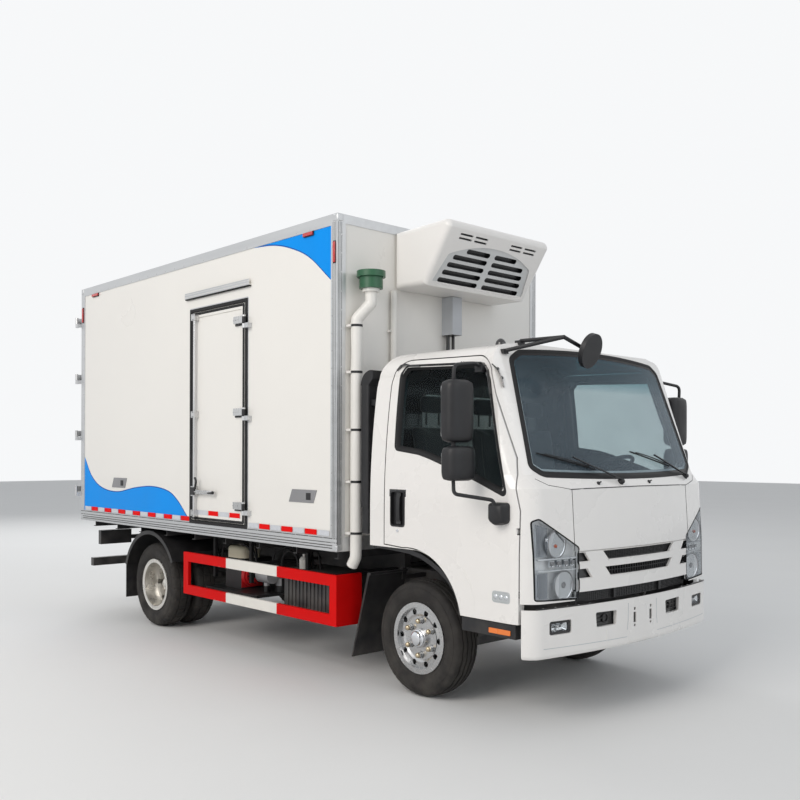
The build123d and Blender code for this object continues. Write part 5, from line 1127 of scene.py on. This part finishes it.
# Side door: black frame, gasket, hinge pads, clamps, hooked lever and drip rail
edge = oblong(1708, 986, 2572, 2776, 8)
frame_in = oblong(1738, 1015, 2542, 2747, 6)
rows = [[Vector((-x, a, b)) for a, b in ring] for x, ring in
        ((1065.2, edge), (1074, outset(edge, -2)), (1074, outset(frame_in, 2)), (1060, frame_in))]
loops("door_frame", rows, RUBBER, "chassis")
rail_rows = [[Vector((-x, a, b)) for a, b in ring] for x, ring in
             ((1065.2, outset(edge, 9)), (1068.5, outset(edge, 8)), (1068.5, edge), (1065.2, outset(edge, -1)))]
loops("door_surround", rail_rows, RAIL, "chassis")
gasket_out = oblong(1744, 1023, 2529, 2739, 14)
gasket_in = oblong(1766, 1045, 2507, 2717, 10)
rows = [[Vector((-x, a, b)) for a, b in ring] for x, ring in ((1076.1, gasket_out), (1080, outset(gasket_out, -3)),
                                                              (1080, outset(gasket_in, 3)), (1076.1, gasket_in))]
loops("door_gasket", rows, RUBBER, "side_door")
gear, pads = Shape(), Shape()
for z in (2600, 1886, 1157):
    pads.block((-1077, -1082), (1778, 1866), (z - 34, z + 30))
    pads.lathe([(-30, 9), (-30, 13.5), (-26, 14.5), (26, 14.5), (30, 13.5), (30, 9)], (-1100, 1715, z), (0, 0, 1), 20,
               closed=True)
    for s in (1792, 1822, 1852):
        gear.bolt((-1106, s, z + 8), (-1, 0, 0), 5)
for z in (2697, 1893, 1079):
    pads.lathe([(-24, 11.5), (-24, 17), (-15, 17), (-15, 11.5)], (-1100, 2450, z), (0, 0, 1), 20, closed=True)
    pads.lathe([(15, 11.5), (15, 17), (24, 17), (24, 11.5)], (-1100, 2450, z), (0, 0, 1), 20, closed=True)
    for dz in (-17, 17):
        gear.bolt((-1116, 2432, z + dz), (-1, 0, 0), 4)
        gear.bolt((-1116, 2468, z + dz), (-1, 0, 0), 4)
for z in (2722, 1038):
    pads.block((-1090, -1112), (2425, 2475), (z - 7, z + 7))
pads.block((-1112, -1120), (2418, 2482), (1228, 1292))
pads.tube([(-1116, 2414, 1276), (-1124, 2390, 1300), (-1126, 2372, 1345), (-1122, 2402, 1372)], 9, 22)
pads.tube([(-1112, 2210, 1255), (-1116, 2130, 1255)], 12, 0)
gear.tube([(-1112, 2440, 1255), (-1118, 2300, 1255), (-1118, 2140, 1262)], 7, 20)
gear.out("side_door_bolts", STAINLESS, "side_door")
pads.out("side_door_pads", BLACK, "side_door", bevel=1)
drip = Shape()
for low, high, out_x in ((2868, 2880, 1088), (2884, 2900, 1089), (2903, 2914.5, 1088)):
    drip.block((-1087.1, -out_x - 0.6), (1664, 2631), (low, high))
drip.out("drip_rail_ribs", RAIL, "chassis", bevel=0.8)
# Black strip under the drip rail: painted shadow under the rail
under = Shape()
under.block((-1066, -1086), (1664, 2631), (2858, 2867.8))
under.out("drip_rail_shadow_strip", RUBBER, "chassis", bevel=2)

# Rear: gaskets, hinge pads and tape on the doors, lamp lenses and markers
for side, word in SIDES:
    body = f"rear_door_{word}"
    leaf = [(side * 13, 1009), (side * 994, 1009), (side * 994, 3141), (side * 13, 3141)]
    rows = [[Vector((a, y, b)) for a, b in ring] for y, ring in
            ((REAR_FACE, leaf), (4738, outset(leaf, -2)), (4738, outset(leaf, -18)), (REAR_FACE, outset(leaf, -20)))]
    loops(f"rear_gasket_{word}", rows, RUBBER, body)
    rear_pads, rear_bolts = Shape(), Shape()
    for z in (1200, 1760, 2330, 2900):
        rear_pads.block((side * 868, side * 968), (REAR_FACE, 4739.5), (z - 36, z + 36))
        for x in (890, 922):
            for dz in (-12, 12):
                rear_bolts.bolt((side * x, 4752, z + dz), (0, 1, 0), 5)
    for x in (110, 620):
        for z in (1110, 1500, 2100, 2700, 3080):
            for low, high in ((-22, -14), (14, 22)):
                rear_pads.lathe([(low, 11.3), (low, 15), (high, 15), (high, 11.3)], (side * x, 4757, z), (0, 0, 1), 18,
                                closed=True)
    rear_pads.out(f"rear_pads_{word}", BLACK, body, bevel=1)
    rear_bolts.out(f"rear_bolts_{word}", STAINLESS, body)
    for name, low, high, look in (("tail", 614, 716, RED_LENS), ("turn", 722, 806, ORANGE),
                                  ("reverse", 812, 862, CLEAR_LENS), ("stop", 868, 916, RED_LENS)):
        lens = Shape()
        lens.prism(oblong(side * low, 664, side * high, 776, 9), "y", 4630.2, 4638)
        lens.out(f"lens_{name}_{word}", look, "chassis", bevel=2.5)
    back = Shape()
    for z in (2700, 2990):
        back.block((side * 1036, side * 1062), (4720.2, 4727), (z, z + 110))
    back.out(f"rear_markers_{word}", RED_LENS, "chassis", bevel=2)
    tapes_red, tapes_white = Shape(), Shape()
    for k in range(6):
        shape = tapes_red if k % 2 == 0 else tapes_white
        shape.block((side * (60 + 150 * k), side * (200 + 150 * k)), (REAR_FACE, 4735.7), (1052, 1088))
    tapes_red.out(f"rear_tape_red_{word}", RED, body, smooth=0)
    tapes_white.out(f"rear_tape_white_{word}", TAPE_WHITE, body, smooth=0)

# Ribs drawn along the rails and posts of the box, with thin dark strips between them as painted shade in the grooves
for side, word in SIDES:
    ribs, grooves = Shape(), Shape()
    for low, high in ((906, 918), (926, 936), (944, 954), (966, 984)):
        ribs.block((side * 1070, side * 1072.4), (606, 4723), (low, high))
    # Dark strips in the grooves: painted shade
    for z in (922, 940, 960, 990):
        grooves.block((side * 1070, side * 1070.8), (609, 4720), (z - 3, z + 3))
    for a, b in ((614, 624), (634, 642), (650, 656)):
        ribs.block((side * 1070, side * 1072.2), (a, b), (950, 3164))
        grooves.block((side * 1070, side * 1070.7), (b + 1, b + 5), (950, 3164))
    for a, b in ((1024, 1031), (1038, 1046), (1054, 1060)):
        ribs.block((side * a, side * b), (607, 609), (950, 3164))
        grooves.block((side * (b + 1), side * (b + 4)), (608.4, 609), (950, 3164))
    ribs.out(f"rail_ribs_{word}", RAIL, "chassis", bevel=0.8)
    grooves.out(f"rail_groove_shade_{word}", CASTING, "chassis", smooth=0)

# Vent pipe: black clamps with their bolts
clips = Shape()
for z in (2455, 2135, 1737, 1380, 1026):
    clips.lathe([(-8, 40.3), (-8, 43), (8, 43), (8, 40.3)], (-940, 560, z), (0, 0, 1), 36, closed=True)
    clips.bolt((-984, 560, z), (-1, 0, 0), 6)
clips.out("pipe_clips", BLACK, "chassis", bevel=0.6)

# Right side of the frame: hoses, bottle and small fittings round the engine
hoses, fittings = Shape(), Shape()
for k, (a, b, x, top) in enumerate(((2020, 2460, -760, 870), (2060, 2520, -790, 842), (1290, 1700, -740, 868),
                                    (1340, 1800, -770, 850), (1400, 1640, -800, 830), (1180, 1330, -760, 860))):
    hoses.tube([(x, a, 640 + 12 * k), (x, a + 30, top - 40), (x - 12, (a + b) / 2, top), (x, b - 30, top - 60),
                (x, b, 650)], 9, 70, 10)
for s in (1255, 2010, 2560):
    hoses.block((-812, -838), (s - 16, s + 16), (520, 880))
hoses.tube([(-700, 2300, 830), (-760, 2100, 800), (-830, 1960, 760), (-830, 1900, 640)], 7, 60, 10)
hoses.out("frame_hoses", RUBBER, "chassis")
fittings.lathe([(-60, 0), (-60, 34), (-50, 40), (30, 40), (48, 26), (52, 14), (70, 14), (70, 0)], (-800, 1330, 740),
               (0, 0, 1), 28)
fittings.lathe([(-14, 0), (-14, 22), (8, 22), (14, 16), (14, 0)], (-705, 2330, 812), (0, 0, 1), 24)
fittings.out("frame_bottle", PIPE, "chassis", bevel=1)
# Dark blocks for the slots in the recoil cover: painted shade in the openings
recoil = Shape()
for k in range(12):
    angle = 2 * pi * k / 12
    recoil.block((-720 + 62 * cos(angle) - 9, -720 + 62 * cos(angle) + 9), (2112, 2118),
                 (560 + 62 * sin(angle) - 4, 560 + 62 * sin(angle) + 4))
recoil.lathe([(0, 0), (0, 20), (4, 18), (6, 0)], (-720, 2118, 560), (0, -1, 0), 24)
recoil.out("recoil_slots", DARK, "chassis")

# Cab roof: the black brackets over each door, dome and bolts, and a plate on the right pillar
for side, word in SIDES:
    door_skin = surface(f"cab_door_{word}")
    plate = Shape()
    view = (-side, 0, 0)

    def on_door(station, z, lift):
        place, normal = seen(door_skin, station, z, view) or seen(CAB_SKIN, station, z, view)
        return place + normal * lift

    top_bar = [on_door(a, b, 5) for a, b in
               ((-470, 2130), (-540, 2126), (-608, 2118), (-646, 2070), (-668, 1998), (-690, 1925))]
    plate.sweep(rounded(top_bar, 20), [(-15, -3), (15, -3), (15, 3), (-15, 3)])
    for a, b in ((-440, 2132), (-420, 2133)):
        plate.dome(on_door(a, b, 1), (side, 0, 0.2), 7, 5)
    hook = [on_door(a, b, c) for a, b, c in
            ((150, 2120, 3), (110, 2146, 12), (60, 2150, 14), (20, 2140, 10), (-60, 2136, 4))]
    plate.sweep(rounded(hook, 14), [(-8, -5), (8, -5), (8, 5), (-8, 5)])
    plate.out(f"door_top_bracket_{word}", GLOSS_BLACK, f"cab_door_{word}", bevel=1.2)
dome = Shape()
for x, station, radius, tall in ((-560, -420, 36, 46), (-640, -60, 8, 7), (-640, 60, 8, 7), (-640, -200, 8, 7),
                                 (640, -60, 8, 7), (640, 60, 8, 7), (640, -200, 8, 7)):
    place = hit(CAB_SKIN, (x, station, 2600), (0, 0, -1))
    if place:
        dome.dome(place[0] - Vector((0, 0, 1)), (0, 0, 1), radius, tall)
dome.out("roof_dome", GLOSS_BLACK, "cab")
pillar = Shape()
spots = [seen(CAB_SKIN, a, b, (1, 0, 0)) for a, b in ((-676, 2105), (-700, 2075), (-724, 2020), (-742, 1965))]
if all(spots):
    pillar.sweep([p + n * 4 for p, n in spots], [(-20, -2), (20, -2), (20, 4), (-20, 4)])
    for p, n in (spots[1], spots[2]):
        pillar.bolt(p + n * 8, n, 8)
    pillar.out("pillar_plate", GLOSS_BLACK, "cab", bevel=1.5)


# Seats: cushions blown up as cloth inside their solids' space
CLOTH_FRAMES, MOST_SWELL = 20, 0.022


def freeze(piece):
    """Applies a piece's modifiers to its mesh."""
    bpy.context.view_layer.update()
    graph = bpy.context.evaluated_depsgraph_get()
    made = bpy.data.meshes.new_from_object(piece.evaluated_get(graph))
    piece.modifiers.clear()
    old = piece.data
    piece.data = made
    bpy.data.meshes.remove(old)


def cushion(name, profile, middle, wide):
    """Padded piece from a side profile of (station, z) points, its width across the cab."""
    mesh = bmesh.new()
    ends = [[mesh.verts.new(P(middle + half, a, b)) for a, b in profile] for half in (-wide / 2, wide / 2)]
    mesh.faces.new(ends[0][::-1])
    mesh.faces.new(ends[1])
    for i in range(len(profile)):
        j = (i + 1) % len(profile)
        mesh.faces.new((ends[0][i], ends[0][j], ends[1][j], ends[1][i]))
    bmesh.ops.recalc_face_normals(mesh, faces=mesh.faces)
    data = bpy.data.meshes.new(name)
    mesh.to_mesh(data)
    mesh.free()
    pad = bpy.data.objects.new(name, data)
    bpy.context.scene.collection.objects.link(pad)
    soft = pad.modifiers.new("soft", "BEVEL")
    soft.width, soft.segments, soft.limit_method = 0.03, 3, "ANGLE"
    even = pad.modifiers.new("even", "REMESH")
    even.mode, even.voxel_size = "VOXEL", 0.013
    freeze(pad)
    start = [v.co.copy() for v in pad.data.vertices]
    cloth = pad.modifiers.new("cloth", "CLOTH")
    cloth.settings.use_pressure = True
    cloth.settings.uniform_pressure_force = 4
    cloth.settings.effector_weights.gravity = 0
    cloth.point_cache.frame_start, cloth.point_cache.frame_end = 1, CLOTH_FRAMES
    for number in range(1, CLOTH_FRAMES + 1):
        bpy.context.scene.frame_set(number)
    freeze(pad)
    bpy.context.scene.frame_set(1)
    for vert, old in zip(pad.data.vertices, start):
        move = vert.co - old
        if move.length > MOST_SWELL:
            vert.co = old + move.normalized() * MOST_SWELL
    smooth = pad.modifiers.new("smooth", "SUBSURF")
    smooth.levels = smooth.render_levels = 1
    freeze(pad)
    pad.data.shade_smooth()
    pad.data.materials.clear()
    pad.data.materials.append(CLOTH)
    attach(pad, "cab")
    return pad


plinth, piping = Shape(), Shape()
for number, (x, wide) in enumerate(((520, 470), (-30, 360), (-560, 470))):
    plinth.prism(round_corners([(-380, 1022), (40, 1022), (50, 1128), (-395, 1128)], 20), "x", x - wide / 2 + 20,
                 x + wide / 2 - 20)
    squab = cushion(f"seat_squab_{number}", [(-405, 1148), (-410, 1190), (-380, 1216), (40, 1204), (48, 1148)], x,
                    wide - 40)
    back = cushion(f"seat_back_{number}", [(58, 1200), (166, 1780), (216, 1774), (132, 1190)], x, wide - 44)
    cushion(f"seat_rest_{number}", [(166, 1850), (170, 1972), (224, 1972), (222, 1850)], x, 226)
    plinth.tube([(x - 60, 196, 1770), (x - 60, 196, 1870)], 7)
    plinth.tube([(x + 60, 196, 1770), (x + 60, 196, 1870)], 7)
    # Sewn seams along the bolsters
    tops = surface(squab)
    fronts = surface(back)
    for offset in (-wide * 0.29, wide * 0.29):
        line = [hit(tops, (x + offset, a, 1400), (0, 0, -1)) for a in range(-370, 31, 40)]
        piping.sweep([q[0] + Vector((0, 0, 0.5)) for q in line if q], [(-2.5, -2), (2.5, -2), (1.5, 2), (-1.5, 2)])
        line = [hit(fronts, (x + offset, -600, b), (0, 1, 0)) for b in range(1230, 1770, 45)]
        piping.sweep([q[0] + Vector((0, -0.5, 0)) for q in line if q], [(-2.5, -2), (2.5, -2), (1.5, 2), (-1.5, 2)])
plinth.out("seat_plinths", TRIM_GREY, "cab", bevel=3, instead=["seats"])
piping.out("seat_seams", TRIM_GREY, "cab")

# Dashboard details and sun visors
dash, vents = Shape(), Shape()
for x in (-700, -120, 90, 760):
    vents.block((x - 48, x + 48), (-640, -606), (1330, 1392))
    for z in range(1340, 1390, 11):
        dash.block((x - 42, x + 42), (-612, -602), (z, z + 3))
for x in (440, 600):
    dash.lathe([(0, 0), (0, 54), (8, 54), (8, 46), (3, 44), (2, 0)], (x, -620, 1418), (0, 1, 0.35), 36)
dash.block((-70, 90), (-616, -603), (1190, 1310))
for k in range(3):
    dash.disc((-50 + k * 60, -606, 1160), (0, 1, 0), 17, 18, 24, 2)
vents.out("dash_vents", BLACK, "cab", bevel=3)
dash.out("dash_details", GLOSS_BLACK, "cab", bevel=1)
inside = Shape()
for side in (-1, 1):
    inside.prism(oblong(side * 180, -700, side * 640, -560, 30), "z", 2190, 2208)
inside.out("sun_visors", TRIM_GREY, "cab", bevel=5)

bpy.context.scene.view_settings.view_transform = "Standard"
bpy.context.view_layer.update()
